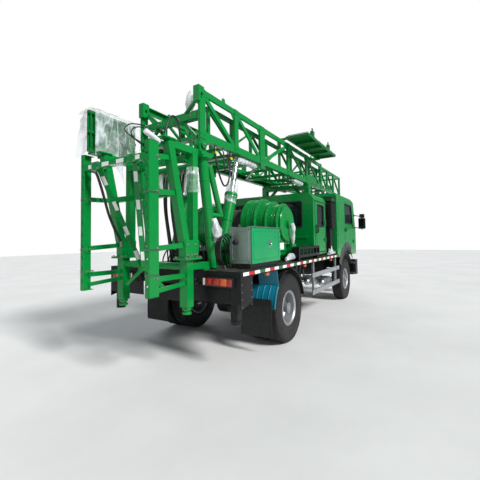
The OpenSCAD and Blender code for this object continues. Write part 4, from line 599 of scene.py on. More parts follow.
def mudguards():
    guard_r, top = 0.63, (0, AXLE_Z)
    for name, s in SIDES:
        cyan = Build()
        cyan.arch(*top, guard_r, 0.618, 138, 172, 12, s * 0.777, s * 1.225)
        for y in (0.777, 0.9, 1.0, 1.1, 1.213):
            cyan.arch(*top, 0.638, 0.617, 139, 171, 12, s * y, s * (y + 0.012))
        cyan.arch(*top, guard_r, 0.598, 139, 171, 12, s * 1.214, s * 1.225)
        cyan.prism([(-0.462, 0.955), (-0.474, 0.963), (-0.512, 1.18), (-0.5, 1.18)], 1, s * 0.9, s * 1.225)
        guard = cyan.make("mudguard_rear_" + name, "cyan", 0.002)
        if s > 0:
            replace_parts(guard, "mudguards")
        black = Build()
        black.arch(*top, guard_r, 0.618, 102, 137, 12, s * 0.777, s * 1.225)
        for y in (0.777, 0.92, 1.07, 1.213):
            black.arch(*top, 0.638, 0.617, 103, 137, 12, s * y, s * (y + 0.012))
        black.arch(*top, guard_r, 0.618, 12, 78, 20, s * 0.617, s * 1.225)
        for k in range(9):
            black.arch(*top, 0.637, 0.617, 13, 77, 20, s * (0.62 + k * 0.073), s * (0.64 + k * 0.073))
        black.make("mudguard_front_" + name, "plastic", 0.002)
        flap = Build()
        steps = 12
        rows = [(-0.756 - 0.014 * math.sin(math.pi * k / steps) * (1 - k / steps), 0.25 + 0.54 * k / steps)
                for k in range(steps + 1)]
        for back, front, y, wide in ((0.004, 0.004, 0.737, 0.508), (0.007, 0.003, 0.745, 0.012),
                                     (0.007, 0.003, 1.225, 0.012)):
            outline = [(x - back, z) for x, z in rows] + [(x + front, z) for x, z in reversed(rows)]
            flap.prism(outline, 1, s * y, s * (y + wide))
        flap.make("mud_flap_" + name, "rubber", 0.001)
        black = Build()
        for x in (-0.3, 0.3):
            black.box(A(x - 0.02, s * 0.787, 1.075), A(x + 0.02, s * 0.827, 1.19))
            black.bolt(A(x, s * 0.807, AXLE_Z + math.sqrt(guard_r ** 2 - x ** 2) + 0.001), (x * 0.8, 0, 1),
                       0.02)
        black.box(A(-0.8, s * 0.787, 0.64), A(-0.765, s * 0.827, 1.19))
        black.box(A(-0.925, s * 0.787, 1.15), A(-0.76, s * 0.827, 1.19))
        black.box(A(-0.752, s * 0.777, 0.655), A(-0.63, s * 1.195, 0.685))
        black.bar(A(-0.775, s * 0.74, 0.775), A(-0.775, s * 1.24, 0.775), 0.012, 0.05)
        black.bolts([-0.782], [s * y for y in (0.78, 0.93, 1.08, 1.2)], [0.775], (-1, 0, 0), 0.018)
        black.make("mudguard_brackets_" + name, "black", 0.002)


def tail_plate():
    """Blank number plate on its bracket under the right lamp, and the tail's hooks."""
    build = Build()
    build.prism(rounded(-1.06, -0.62, 0.90, 1.04, 0.012), 0, -1.568, -1.5615)
    build.make("number_plate", "black", 0.001)
    build = Build()
    build.bolts([-1.568], (-1.0, -0.84, -0.68), [1.02], (-1, 0, 0), 0.01)
    for y in (-0.52, 0.52):
        build.turn([(0, 0.03), (0.02, 0.03), (0.03, 0.022), (0.03, 0.0008)], A(-1.56, y, 1.13), (-1, 0, 0),
                   24)
        hook = ((-1.585, -0.05, 1.10), (-1.62, -0.045, 1.08), (-1.635, 0, 1.07), (-1.62, 0.045, 1.08),
                (-1.585, 0.05, 1.10))
        build.tube([A(x, y + dy, z) for x, dy, z in hook], 0.011, 10)
    build.bar(A(-1.563, -0.42, 1.125), A(-1.563, 0.42, 1.125), 0.006, 0.09)
    build.bolts([-1.566], (-0.36, -0.12, 0.12, 0.36), (1.10, 1.15), (-1, 0, 0), 0.02)
    build.make("tail_hooks", "black", 0.001)


def edge_tape():
    """Reflective strips along the deck's edge: white, red and green turn by turn, as in the photo."""
    sets = {"white": Build(), "red": Build(), "dark_green": Build()}
    order = ("white", "red", "white", "dark_green")
    strips, pitch, length = 30, 0.152, 0.146
    for s in (1, -1):
        for k in range(strips):
            x = -1.5 + k * pitch
            sets[order[k % 4]].box(A(x, s * 1.2201, 1.203), A(x + length, s * 1.2218, 1.247))
    for material, build in sets.items():
        build.make("edge_tape_" + material, material)


# Drawworks

DRUM_X, DRUM_Z = 0.38, 1.92


def drawworks():
    for name, s in SIDES:
        bolts = Build()
        for radius, y, count in ((0.432, 0.62, 28), (0.376, 0.80, 24), (0.326, 0.985, 20), (0.27, 1.03, 12)):
            x = DRUM_X + (0.02 if y > 1 else 0)
            bolts.bolt_ring(x, s * y, DRUM_Z, radius, count, s, 0.015, 0.5)
        bolts.bolt_ring(DRUM_X + 0.02, s * 1.08, DRUM_Z, 0.05, 6, s, 0.012)
        bolts.make("guard_bolts_" + name, "zinc")
        bands = Build()
        for radius, y in ((0.4745, 0.60), (0.4145, 0.78), (0.3645, 0.965)):
            bands.band(A(DRUM_X, s * (y + 0.01), DRUM_Z), (0, s, 0), 0.008, radius - 0.004, radius + 0.003,
                       96)
        bands.make("guard_bands_" + name, "green", 0.001)
        shell = Build()
        for y in (0.36, 0.46, 0.56):
            shell.arch(DRUM_X, DRUM_Z, 0.466, 0.455, -20, 200, 40, s * (y - 0.008), s * (y + 0.008))
        for y, r in ((0.71, 0.405), (0.89, 0.355)):
            shell.arch(DRUM_X, DRUM_Z, r, r - 0.01, -30, 210, 36, s * (y - 0.006), s * (y + 0.006))
        # Inspection cover on the outer face and a lifting eye on top
        shell.prism(rounded(0.30, 0.50, 2.02, 2.12, 0.02), 1, s * 1.03, s * 1.037)
        shell.band(A(DRUM_X, s * 0.5, 2.405), (0, 1, 0), 0.012, 0.018, 0.035)
        shell.box(A(DRUM_X - 0.03, s * 0.48, 2.372), A(DRUM_X + 0.03, s * 0.52, 2.386))
        shell.turn([(0.0, 0.31), (0.006, 0.312), (0.02, 0.3)], A(DRUM_X + 0.02, s * 1.012, DRUM_Z), (0, s, 0),
                   72)
        shell.make("guard_trim_" + name, "green", 0.0015)
    rope, drum, label = Build(), Build(), Build()
    turns, pitch, steps = 24, 0.0225, 40
    lap = circle(0.292, steps)
    rope.tube([A(DRUM_X + lap[k % steps][0], -0.27 + pitch * k / steps, DRUM_Z + lap[k % steps][1])
               for k in range(turns * steps + 1)], 0.0112, 8)
    rope.make("rope_turns", "rope", body="rope_drum")
    for s in (1, -1):
        drum.bolt_ring(DRUM_X, s * 0.29, DRUM_Z, 0.37, 8, -s, 0.022)
    drum.make("drum_bolts", "zinc", body="rope_drum")
    label.prism(rounded(0.08, 0.31, 1.47, 1.59, 0.008), 1, -0.963, -0.99)
    label.make("blank_label", "white", 0.002)


# Operator cabin

def cabin():
    seals = Build()
    for x0, x1, y0, y1 in ((1.672, 1.7, -0.82, -0.28), (1.672, 1.7, 0.28, 0.82), (2.56, 2.588, -0.5, 0.5)):
        ring(seals, rounded(y0, y1, 1.915, 2.45, 0.03), 0, x0, x1, 0.022, 0.014)
    ring(seals, rounded(1.92, 2.41, 1.935, 2.41, 0.03), 1, 1.06, 1.088, 0.02, 0.012)
    ring(seals, rounded(1.804, 2.526, 1.365, 2.465, 0.02), 1, -1.0865, -1.075, 0.016, -0.002)
    seals.make("cabin_seals", "rubber", 0.003)
    seal, panel, hardware = Build(), Build(), Build()
    ring(seal, rounded(1.97, 2.41, 1.925, 2.39, 0.03), 1, -1.089, -1.062, 0.02, 0.013)
    seal.make("cabin_door_seal", "rubber", 0.003, "cabin_door")
    panel.prism(rounded(1.9, 2.44, 1.46, 1.84, 0.03), 1, -1.086, -1.0795)
    panel.make("cabin_door_panel", "green", 0.003, "cabin_door")
    for z in (1.57, 1.96):
        hardware.prism(rounded(2.36, 2.505, z + 0.03, z + 0.085, 0.012), 1, -1.0895, -1.0805)
        hardware.bolts((2.385, 2.43), [-1.0895], [z + 0.057], (0, -1, 0), 0.012)
    hardware.prism(rounded(1.84, 1.9, 1.755, 1.95, 0.012), 1, -1.0875, -1.0795)
    handle = ((-1.084, 1.93), (-1.125, 1.92), (-1.13, 1.85), (-1.125, 1.79), (-1.084, 1.775))
    hardware.tube(curve_through([A(1.87, y, z) for y, z in handle], 5), 0.009, 10)
    hardware.make("cabin_door_hardware", "plastic", 0.002, "cabin_door")
    trim, black, desk = Build(), Build(), Build()
    # Rain gutter over the door, ribs pressed in the sides, roof rails and the rear panel's frame
    for s, x0, x1 in ((1, 1.74, 2.52), (-1, 1.7, 1.78)):
        trim.bar(A(1.68, s * 1.085, 2.485), A(2.58, s * 1.085, 2.485), 0.02, 0.025)
        for z in (1.45, 1.6, 1.75):
            trim.bar(A(x0, s * 1.082, z), A(x1, s * 1.082, z), 0.008, 0.035)
    for y in (-0.6, -0.2, 0.2, 0.6):
        trim.bar(A(1.72, y, 2.645), A(2.54, y, 2.645), 0.05, 0.012)
    for x, y, z, deep, high in ((1.676, 0.95, 1.5, 0.008, 0.05), (2.584, 0.95, 1.5, 0.008, 0.05),
                                (1.676, 0.95, 1.68, 0.008, 0.05), (2.584, 0.95, 1.68, 0.008, 0.05),
                                (1.674, 0.98, 1.33, 0.012, 0.04), (2.586, 0.98, 1.33, 0.012, 0.04)):
        trim.bar(A(x, -y, z), A(x, y, z), deep, high)
    trim.make("cabin_trim", "green", 0.003)
    # Vent and wiper on the rear side
    for k in range(6):
        black.bar(A(1.676, -0.13, 2.0 + k * 0.05), A(1.676, 0.13, 2.0 + k * 0.05), 0.012, 0.018)
    black.tube([A(1.665, 0.55, 1.9), A(1.655, 0.55, 1.93), A(1.655, 0.45, 2.35)], 0.006, 8)
    black.make("cabin_fittings", "plastic", 0.002)
    # Control desk with levers and gauges, seen through the windows
    desk.prism([(1.735, 1.74), (2.02, 1.74), (2.0, 1.82), (1.735, 1.93)], 1, -0.7, 0.7)
    for k in range(7):
        y = -0.6 + k * 0.17
        desk.tube([A(1.96, y, 1.83), A(1.97, y, 1.95)], 0.008, 8)
        desk.turn([(0, 0.008), (0.012, 0.018), (0.03, 0.016), (0.036, 0.006)], A(1.97, y, 1.945), (0, 0, 1),
                  12)
        desk.turn([(0, 0.04), (0.012, 0.04), (0.015, 0.034)], A(1.83, y + 0.06, 1.875), (0.4, 0, 1), 20)
    desk.make("cabin_desk", "plastic", 0.002)


# Driver's cab

DOOR_WINDOW = [(4.07, 2.06), (5.01, 2.06), (4.84, 2.58), (4.07, 2.58)]


def driver_cab():
    seals = Build()
    for y0, y1 in ((-0.82, -0.22), (0.22, 0.82)):
        ring(seals, rounded(y0, y1, 2.1, 2.55, 0.04), 0, 3.192, 3.22, 0.024, 0.014)
    seals.make("cab_rear_seals", "rubber", 0.003)
    for name, s in SIDES:
        body, skin = "cab_door_" + name, s * 1.1795
        seal, panels, fittings, gap, quarter = Build(), Build(), Build(), Build(), Build()
        ring(seal, DOOR_WINDOW, 1, s * 1.165, s * 1.1865, 0.02, 0.014)
        seal.make("cab_door_seal_" + name, "rubber", 0.003, body)
        panels.prism([(4.03, 1.62), (5.04, 1.62), (5.04, 1.74), (4.03, 1.74)], 1, skin, skin + s * 0.008)
        panels.prism([(4.55, 1.35), (5.04, 1.30), (5.04, 1.52), (4.62, 1.52)], 1, skin, skin + s * 0.006)
        panels.make("cab_door_panels_" + name, "green", 0.004, body)
        fittings.prism(rounded(4.02, 4.22, 1.82, 1.93, 0.02), 1, skin, skin + s * 0.012)
        handle = ((4.05, 1.19), (4.07, 1.215), (4.13, 1.22), (4.19, 1.215), (4.21, 1.19))
        fittings.tube(curve_through([A(x, s * y, 1.875) for x, y in handle], 5), 0.011, 10)
        for z in (1.5, 1.94):
            fittings.prism(rounded(4.96, 5.07, z + 0.025, z + 0.085, 0.012), 1, skin + s * 0.002,
                           skin + s * 0.015)
        fittings.make("cab_door_fittings_" + name, "plastic", 0.002, body)
        outline = [(3.98, 1.24), (3.98, 2.64), (4.89, 2.64), (5.08, 2.04), (5.08, 1.5)]
        for p, q in zip(outline, outline[1:]):
            gap.bar(A(p[0], s * 1.141, p[1]), A(q[0], s * 1.141, q[1]), 0.02, 0.003)
        gap.make("door_gap_rubber_" + name, "rubber")
        # Pressed panels of the rear quarter and the gutter over it
        for x0, z0, z1, r, y in ((3.3, 1.4, 1.62, 0.03, 1.186), (3.3, 1.7, 1.95, 0.03, 1.186),
                                 (3.35, 2.1, 2.56, 0.05, 1.187)):
            quarter.prism(rounded(x0, 3.85, z0, z1, r), 1, skin, s * y)
        quarter.bar(A(3.24, s * 1.135, 2.70), A(4.86, s * 1.135, 2.70), 0.03, 0.02)
        quarter.make("cab_quarter_" + name, "green", 0.004)
        mirror, back, head, turn, step = Build(), Build(), Build(), Build(), Build()
        mirror.box(A(5.375, s * 1.282, 1.945), A(5.388, s * 1.458, 2.235))
        mirror.make("mirror_glass_" + name, "mirror", 0.006)
        back.prism(rounded(s * 1.27, s * 1.47, 1.925, 2.255, 0.03), 0, 5.389, 5.45)
        back.prism(rounded(s * 1.3, s * 1.45, 2.262, 2.38, 0.03), 0, 5.395, 5.44)
        back.make("mirror_back_" + name, "plastic", 0.01)
        head.prism(rounded(s * 0.665, s * 1.035, 0.75, 0.88, 0.03), 0, 5.47, 5.486)
        head.make("head_lamp_" + name, "white_lens", 0.004)
        turn.prism(rounded(s * 1.075, s * 1.15, 0.76, 0.87, 0.02), 0, 5.4885, 5.494)
        turn.prism(rounded(5.17, 5.26, 1.24, 1.285, 0.01), 1, skin, s * 1.19)
        turn.make("turn_lamp_" + name, "amber_lens", 0.003)
        for z in (0.622, 0.932):
            for x in [5.0 + k * 0.045 for k in range(6)]:
                step.bar(A(x, s * 0.97, z), A(x, s * 1.17, z), 0.012, 0.006)
        step.make("cab_step_treads_" + name, "zinc", 0.001)
    face, plate, screen, visor, roof = Build(), Build(), Build(), Build(), Build()
    face.bar(A(5.405, -0.62, 1.83), A(5.405, 0.62, 1.83), 0.012, 0.05)
    for y in (-0.45, 0.0, 0.45):
        face.tube([A(5.37, y, 1.99), A(5.385, y, 1.985), A(5.30, y + 0.38, 2.24)], 0.009, 8)
        face.bar(A(5.372, y + 0.04, 2.03), A(5.245, y + 0.42, 2.42), 0.012, 0.02)
    ring(face, rounded(-0.42, 0.42, 0.69, 0.88, 0.02), 0, 5.484, 5.497, 0.014, 0.004)
    for y in (-0.85, 0.85):
        ring(face, rounded(y - 0.21, y + 0.21, 0.73, 0.9, 0.03), 0, 5.484, 5.498, 0.012, 0.004)
    face.make("cab_face_fittings", "plastic", 0.002)
    plate.prism(rounded(-0.22, 0.22, 0.60, 0.68, 0.01), 0, 5.49, 5.497)
    plate.make("front_plate", "white", 0.001)
    corners = [A(5.356, -1.05, 2.0), A(5.356, 1.05, 2.0), A(5.158, 1.05, 2.66), A(5.158, -1.05, 2.66)]
    for p, q in zip(corners, corners[1:] + corners[:1]):
        screen.bar(p, q, 0.03, 0.03)
    screen.make("windscreen_seal", "rubber", 0.004)
    visor.prism([(5.12, 2.715), (5.385, 2.605), (5.395, 2.575), (5.385, 2.57), (5.14, 2.675)], 1, -1.03, 1.03)
    for y in (-0.8, 0.0, 0.8):
        visor.bar(A(5.16, y, 2.665), A(5.34, y, 2.585), 0.02, 0.03)
    visor.make("roof_visor", "plastic", 0.006)
    for name, s in SIDES:
        skin = s * 1.1805
        for part, body, low, high, a0, a1 in (("rear", "truck", 0.787, 1.0, 104.5, 150),
                                              ("inner", "truck", 0.787, 0.85, 40, 103.5),
                                              ("door", "cab_door_" + name, 0.868, 1.0, 57, 101)):
            flare = Build()
            flare.arch(FRONT_X, AXLE_Z, high, low, a0, a1, 24, skin, skin + s * 0.006)
            flare.arch(FRONT_X, AXLE_Z, high - 0.03, low + 0.012, a0, a1, 24, skin + s * 0.004,
                       skin + s * 0.0105)
            flare.make(f"arch_trim_{part}_{name}", "trim", 0.003, body)
    for y in (-0.7, -0.25, 0.25, 0.7):
        roof.prism([(4.78, 2.789), (4.98, 2.76), (4.98, 2.79), (4.9, 2.812), (4.8, 2.812)], 1, y - 0.045,
                   y + 0.045)
    roof.make("roof_lamps", "amber_lens", 0.006)


tail_lamps()
mudguards()
tail_plate()
edge_tape()
drawworks()
cabin()
driver_cab()


# Mast

MAST_X0, MAST_X1, MAST_Z0, MAST_Z1, MAST_W = -1.51, 4.05, 3.04, 3.75, 1.16
SHEAVE_X, SHEAVE_Z = 6.07, 3.34


def weld_bead(build, p, q, radius=0.005):
    """A rippled weld bead from p to q."""
    p, q = Vector(p), Vector(q)
    steps = max(2, int((q - p).length / 0.012))
    build.tube([p.lerp(q, k / steps) for k in range(steps + 1)],
               [radius * (0.8 + 0.35 * (k % 2)) for k in range(steps + 1)], 6)


def mast():
    half = MAST_W / 2
    green, bolts, black = Build(), Build(), Build()
    for s in (1, -1):
        for x, width in ((-1.45, 0.12), (-0.56, 0.11), (0.36, 0.19), (1.62, 0.12), (2.8, 0.12), (3.99, 0.12)):
            # Gusset plates and beads at the foot and head of each post
            y = s * (half + 0.0085)
            for z, up in ((MAST_Z0 + 0.075, 1), (MAST_Z1 - 0.075, -1)):
                for side in (-1, 1):
                    edge = x + side * width / 2
                    if MAST_X0 < edge + side * 0.1 < MAST_X1:
                        green.prism([(edge, z), (edge + side * 0.1, z), (edge, z + up * 0.12)], 1,
                                    s * (half - 0.022), s * (half - 0.010))
                weld_bead(green, A(x - width / 2, y, z - up * 0.004), A(x + width / 2, y, z - up * 0.004))
            y = s * (half + 0.001)
            for edge in (x - width / 2, x + width / 2):
                weld_bead(green, A(edge, y, MAST_Z0 + 0.1), A(edge, y, MAST_Z1 - 0.1), 0.004)
        # Ring round the landing bore, and the saddle's bolts
        green.turn([(0.0, 0.028), (0.0, 0.048), (0.008, 0.045), (0.008, 0.028)],
                   A(-1.48, s * (half + 0.009), 3.66), (0, s, 0), 32, closed=True)
        saddle_y = [s * (half + 0.0105)]
        bolts.bolts((2.95, 3.15, 3.35, 3.5), saddle_y, [3.09], (0, s, 0), 0.03)
        bolts.bolts((3.0, 3.4), saddle_y, [3.22], (0, s, 0), 0.03)
        bolts.bolts((0.3, 0.42), [s * (half + 0.0085)], (2.975, 3.02), (0, s, 0), 0.024)
        # Lifting eyes on the upper chord
        for x in (-0.9, 3.2):
            foot = MAST_Z1 - 0.005
            green.prism([(x - 0.06, foot), (x + 0.06, foot)] + arc(x, MAST_Z1 + 0.03, 0.04, -10, 190, 12), 1,
                        s * (half - 0.026), s * (half - 0.012))
        # Hard line along the chord and the clamps that hold it
        y = s * (half - 0.045)
        black.tube([A(x, y, 3.11 + 0.004 * math.sin(x * 3)) for x in [k * 0.2 - 1.2 for k in range(26)]],
                   0.009, 8)
        for x in [k * 0.62 - 1.1 for k in range(8)]:
            bolts.bar(A(x, y, 3.111), A(x + 0.03, y, 3.111), 0.026, 0.026)
        weld_bead(green, A(-1.5, s * 0.45, 3.34), A(-1.42, s * 0.45, 3.34))
        # Rear end: pads on its V braces
        green.box(A(-1.512, s * 0.14, 3.335), A(-1.4995, s * 0.5, 3.425))
    bolts.bolts([-1.5], (-0.42, -0.2, 0.2, 0.42), [3.38], (-1, 0, 0), 0.034)
    green.make("mast_gussets", "green", 0.0015, "mast_lower")
    bolts.make("mast_bolts", "zinc", body="mast_lower")
    black.make("mast_hard_lines", "rubber", body="mast_lower")
    upper, bolts = Build(), Build()
    crown_y = half - 0.06
    for s in (1, -1):
        for x in [3.97 + 0.58 * k for k in range(5)]:
            weld_bead(upper, A(x, s * (crown_y + 0.001), 3.15), A(x, s * (crown_y + 0.001), 3.66), 0.004)
        for x in (4.9, 5.6, 6.3):
            for z, up in ((3.142, 1), (3.678, -1)):
                upper.prism([(x - 0.02, z), (x - 0.1, z), (x - 0.02, z + up * 0.09)], 1,
                            s * (crown_y - 0.034), s * (crown_y - 0.024))
        bolts.bolt_ring(SHEAVE_X, s * 0.2505, SHEAVE_Z, 0.055, 6, s, 0.02)
        bolts.bolts((5.97, 6.22), [s * 0.2505], [3.13], (0, s, 0), 0.022)
        # Guide rollers' caps on the upper section's chords
        for x in (1.1, 2.4, 3.6):
            bolts.turn([(0, 0.03), (0.012, 0.03), (0.02, 0.02)], A(x, s * 0.4605, 3.18), (0, s, 0), 20)
    # Crown top: rails, and guard hoops over the sheaves
    rail = ((5.75, 3.735), (5.75, 3.83), (5.78, 3.86), (6.32, 3.86), (6.35, 3.83), (6.35, 3.735))
    for y in (-0.3, 0.3):
        upper.tube([A(x, y, z) for x, z in rail], 0.016, 10)
    for y in (-0.17, 0.0, 0.17):
        for side in (-0.042, 0.042):
            upper.tube([A(x, y + side, z) for x, z in arc(SHEAVE_X, SHEAVE_Z, 0.245, 0, 180, 12)], 0.007, 8)
    upper.make("crown_rails", "green", 0.0015, "mast_upper")
    bolts.make("crown_bolts", "zinc", body="mast_upper")


def racking_board():
    ribs, bolts = Build(), Build()
    x0, y0, y1, z0 = 1.39, -1.114, -0.614, 3.808
    for x in [x0 + 0.05 + k * 0.082 for k in range(26)]:
        ribs.bar(A(x, y0 + 0.032, z0 + 0.055), A(x, y1 - 0.032, z0 + 0.055), 0.02, 0.006)
        ribs.bar(A(x + 0.02, y0 + 0.035, z0 + 0.036), A(x + 0.02, y1 - 0.035, z0 + 0.036), 0.016, 0.014)
    for x in (x0 + 0.3, x0 + 1.5):
        bolts.bolts((x + 0.03, x + 0.08), [y0], [z0 + 0.12], (0, -1, 0), 0.02)
        ribs.band(A(x + 0.055, y0 + 0.03, z0 + 0.185), (0, 1, 0), 0.006, 0.02, 0.038)
    bolts.bolts([x0 + 0.1 + k * 0.33 for k in range(7)], [y0], [z0 + 0.022], (0, -1, 0), 0.018)
    ribs.make("board_ribs", "dark_green", 0.001, "racking_board")
    bolts.make("board_bolts", "zinc", body="racking_board")


# Tail: stripes, plates and ties

COLUMN_Y = 0.59


def stripe(build, p, q, face, gap, length, wide, lift):
    """Reflective strips one behind another on a bar's face, from p to q, standing lift above the axis."""
    p, q, face = Vector(p), Vector(q), Vector(face).normalized()
    along = (q - p).normalized()
    count = int(((q - p).length + gap) / (length + gap))
    start = ((q - p).length - count * (length + gap) + gap) / 2
    for k in range(count):
        a = p + along * (start + k * (length + gap)) + face * lift
        build.bar(a, a + along * length, wide, 0.0012, face)


def tail():
    tape, ties, green, bolts = Build(), Build(), Build(), Build()
    back = (-1, 0, 0)
    # Top bar's strips, and the strips on the two braces' rear faces
    stripe(tape, A(-2.465, -0.52, 2.6), A(-2.465, 0.52, 2.6), back, 0.14, 0.13, 0.05, 0.0008)
    for s in (1, -1):
        p, q = A(-2.405, s * 0.33, 2.565), A(-1.995, s * 0.02, 1.33)
        along = (q - p).normalized()
        level = Vector((along.y, -along.x, 0)).normalized()
        stripe(tape, p, q, level if s > 0 else along.cross(level), 0.22, 0.12, 0.044, 0.0308)
        # Clamps of the braces on the top bar, with their bolts
        green.box(A(-2.47, s * 0.26, 2.548), A(-2.464, s * 0.4, 2.652))
        bolts.bolts([-2.47], (s * 0.28, s * 0.38), (2.565, 2.635), back, 0.018)
        # End caps of the channels and beads round their holes
        for z in (1.04, 2.775):
            green.box(A(-2.465, s * COLUMN_Y - 0.035, z - 0.004), A(-2.325, s * COLUMN_Y + 0.035, z + 0.004))
        for k in range(11):
            green.turn([(0.0, 0.024), (0.0, 0.031), (0.004, 0.029), (0.004, 0.024)],
                       A(-2.465, s * 0.585, 1.16 + k * 0.15), back, 24, closed=True)
        # Wire ties round the channel
        for z in (1.27, 1.282, 1.55, 1.562, 2.19, 2.202):
            loop = [(-2.47, -0.04), (-2.32, -0.04), (-2.32, 0.04), (-2.47, 0.04)]
            ties.tube([A(x, s * COLUMN_Y + y, z + 0.004 * math.sin(x * 90 + y * 50)) for x, y in loop],
                      0.0025, 6, closed=True)
        # Flange bolts of the columns, foot collar, gussets of the rear arms
        bolts.bolts((-1.925, -1.86, -1.72, -1.66), (s * 0.505, s * 0.675), [1.44], (0, 0, 1), 0.03)
        green.turn([(0, 0.056), (0.03, 0.056), (0.036, 0.05), (0.036, 0.0405), (0, 0.0405)],
                   A(-1.82, s * COLUMN_Y, 0.794), (0, 0, 1), 40, closed=True)
        for xs, y, zs in (((-1.86, -1.79, -1.72, -1.68), 0.649, [1.47]), ((-1.86, -1.7), 0.649, [1.6]),
                          ([-2.345], 0.626, (2.61, 2.21, 1.57, 1.23))):
            bolts.bolts(xs, [s * y], zs, (0, s, 0), 0.022)
        # Landing plate's bolts, outside the mast's width
        bolts.bolts((-2.23, -2.16, -2.09), [s * 0.634], [2.872], (0, 0, 1), 0.02)
    tape.make("tail_stripes", "white")
    green.make("tail_trim", "green", 0.001)
    bolts.make("tail_bolts", "zinc")
    ties.make("tail_wire_ties", "zinc")


def work_platform():
    green, bolts = Build(), Build()
    x0, x1, y0, z0, z1 = -2.33, -1.53, 0.64, 2.81, 3.42
    for x in [x0 + 0.03 + k * 0.062 for k in range(13)]:
        green.bar(A(x, y0 + 0.0265, z0 + 0.1), A(x, y0 + 0.0265, z1 - 0.03), 0.018, 0.008, (0, 1, 0))
    for z in [z0 + 0.12 + k * 0.06 for k in range(8)]:
        green.bar(A(x0 + 0.02, y0 + 0.083, z), A(x1 - 0.02, y0 + 0.083, z), 0.006, 0.012)
    bolts.bolts((x0 + 0.18, x1 - 0.14), [y0 + 0.019], (z0 + 0.1, z1 - 0.08), (0, -1, 0), 0.02)
    green.make("platform_grating", "dark_green", 0.001, "work_platform")
    bolts.make("platform_bolts", "zinc", body="work_platform")


RAM_R = 0.09
LEG_R = 0.07


def rams():
    for name, s in SIDES:
        green, steel = Build(), Build()
        foot, eye = A(-0.88, s * 0.47, 1.43), A(-0.38, s * 0.47, 2.985)
        along = (eye - foot).normalized()
        # Welded bands, port blocks with their hose fittings, and the gland's bolts
        for t in (0.09, 0.55, 0.93):
            green.band(foot + along * t, along, 0.012, RAM_R, RAM_R + 0.008, 48)
        green.make("ram_bands_" + name, "green", 0.001, "ram_barrel_" + name)
        side = along.cross(Vector((0, 1, 0))).normalized()
        for t in (0.14, 0.86):
            steel.turn([(0, 0.022), (0.03, 0.022), (0.03, 0.017), (0.05, 0.017), (0.05, 0.012),
                        (0.07, 0.012)], foot + along * t + side * (RAM_R - 0.01), side, 6)
        for u, v in circle(0.0815, 8):
            steel.bolt(foot + along * 1.03 + side * u + along.cross(side) * v, along, 0.009)
        steel.make("ram_ports_" + name, "zinc", body="ram_barrel_" + name)


def gantry():
    bolts, trim = Build(), Build()
    for s in (1, -1):
        for dx, dy in circle(0.09, 8, 0.5):
            bolts.bolt(A(-1.245 + dx, s * COLUMN_Y + dy, 1.276), (0, 0, 1), 0.02)
        bolts.bolts((-1.55, -1.51, -1.43, -1.39), (s * COLUMN_Y - 0.06, s * COLUMN_Y + 0.06), [2.784],
                    (0, 0, 1), 0.018)
        # Retaining plates on the hinge pins, and clamps of the hose run down the leg
        trim.turn([(0, 0.052), (0.006, 0.052), (0.008, 0.048)], A(-1.47, s * 0.6215, 2.95), (0, s, 0), 32)
        bolts.bolt(A(-1.47, s * 0.63, 2.95), (0, s, 0), 0.026)
        head, foot = A(-1.48, s * COLUMN_Y, 2.775), A(-1.24, s * COLUMN_Y, 1.26)
        for t in (0.2, 0.45, 0.7):
            trim.band(head.lerp(foot, t), foot - head, 0.012, LEG_R - 0.001, LEG_R + 0.004, 40)
    trim.make("gantry_trim", "green", 0.001)
    bolts.make("gantry_bolts", "zinc")


def electric_cabinet():
    x0, x1, y0, y1, z0, z1 = -1.19, -0.29, -1.18, -0.83, 1.33, 1.82
    black, steel, zinc, door, lock = Build(), Build(), Build(), Build(), Build()
    # Black base over the steel node's own, the round knob and the vent's slats
    black.box(A(x0 + 0.018, y0 + 0.038, 1.2605), A(x1 - 0.018, y1 - 0.018, z0 - 0.001))
    black.turn([(0, 0.032), (0.012, 0.036), (0.03, 0.036), (0.044, 0.03), (0.048, 0.018)],
               A(x0, y0 + 0.25, z0 + 0.29), (-1, 0, 0), 28)
    black.bar(A(x0 - 0.05, y0 + 0.222, z0 + 0.29), A(x0 - 0.05, y0 + 0.278, z0 + 0.29), 0.014, 0.016)
    for z in [z0 + 0.3 + 0.025 * k for k in range(5)]:
        black.bar(A(x1 + 0.0005, y0 + 0.09, z), A(x1 + 0.0005, y0 + 0.26, z), 0.006, 0.012)
    black.make("cabinet_base", "plastic", 0.003)
    ring(steel, rounded(y0 + 0.06, y1 - 0.04, z0 + 0.05, z1 - 0.05, 0.02), 0, x0 - 0.004, x0 + 0.001, 0.006,
         0.006)
    for y in (y0 + 0.02, y1 - 0.02):
        steel.bar(A(x0 - 0.02, y, z1 + 0.006), A(x1 + 0.02, y, z1 + 0.006), 0.07, 0.012)
    steel.make("cabinet_trim", "steel", 0.002)
    zinc.bolts([x0], (y0 + 0.05, y1 - 0.02), (z0 + 0.03, z1 - 0.03), (-1, 0, 0), 0.014)
    for x in (x0 + 0.1, x1 - 0.1):
        zinc.band(A(x, y1 - 0.1, z1 + 0.02), (0, 1, 0), 0.004, 0.014, 0.024, 20)
    zinc.make("cabinet_bolts", "zinc")
    ring(door, rounded(x0 + 0.05, x1 - 0.05, z0 + 0.05, z1 - 0.05, 0.03), 1, y0 - 0.004, y0 + 0.001, 0.006,
         0.006)
    door.make("cabinet_door_frame", "emerald", 0.002, "cabinet_door")
    lock.prism(rounded(x0 + 0.49, x0 + 0.55, z0 + 0.2, z0 + 0.32, 0.012), 1, y0 - 0.01, y0 + 0.001)
    lock.turn([(0, 0.02), (0.02, 0.02), (0.024, 0.016)], A(x0 + 0.52, y0 - 0.021, z0 + 0.25), (0, -1, 0), 24)
    lock.bar(A(x0 + 0.52, y0 - 0.046, z0 + 0.235), A(x0 + 0.52, y0 - 0.046, z0 + 0.265), 0.006, 0.008)
    lock.make("cabinet_lock", "chrome", 0.001, "cabinet_door")


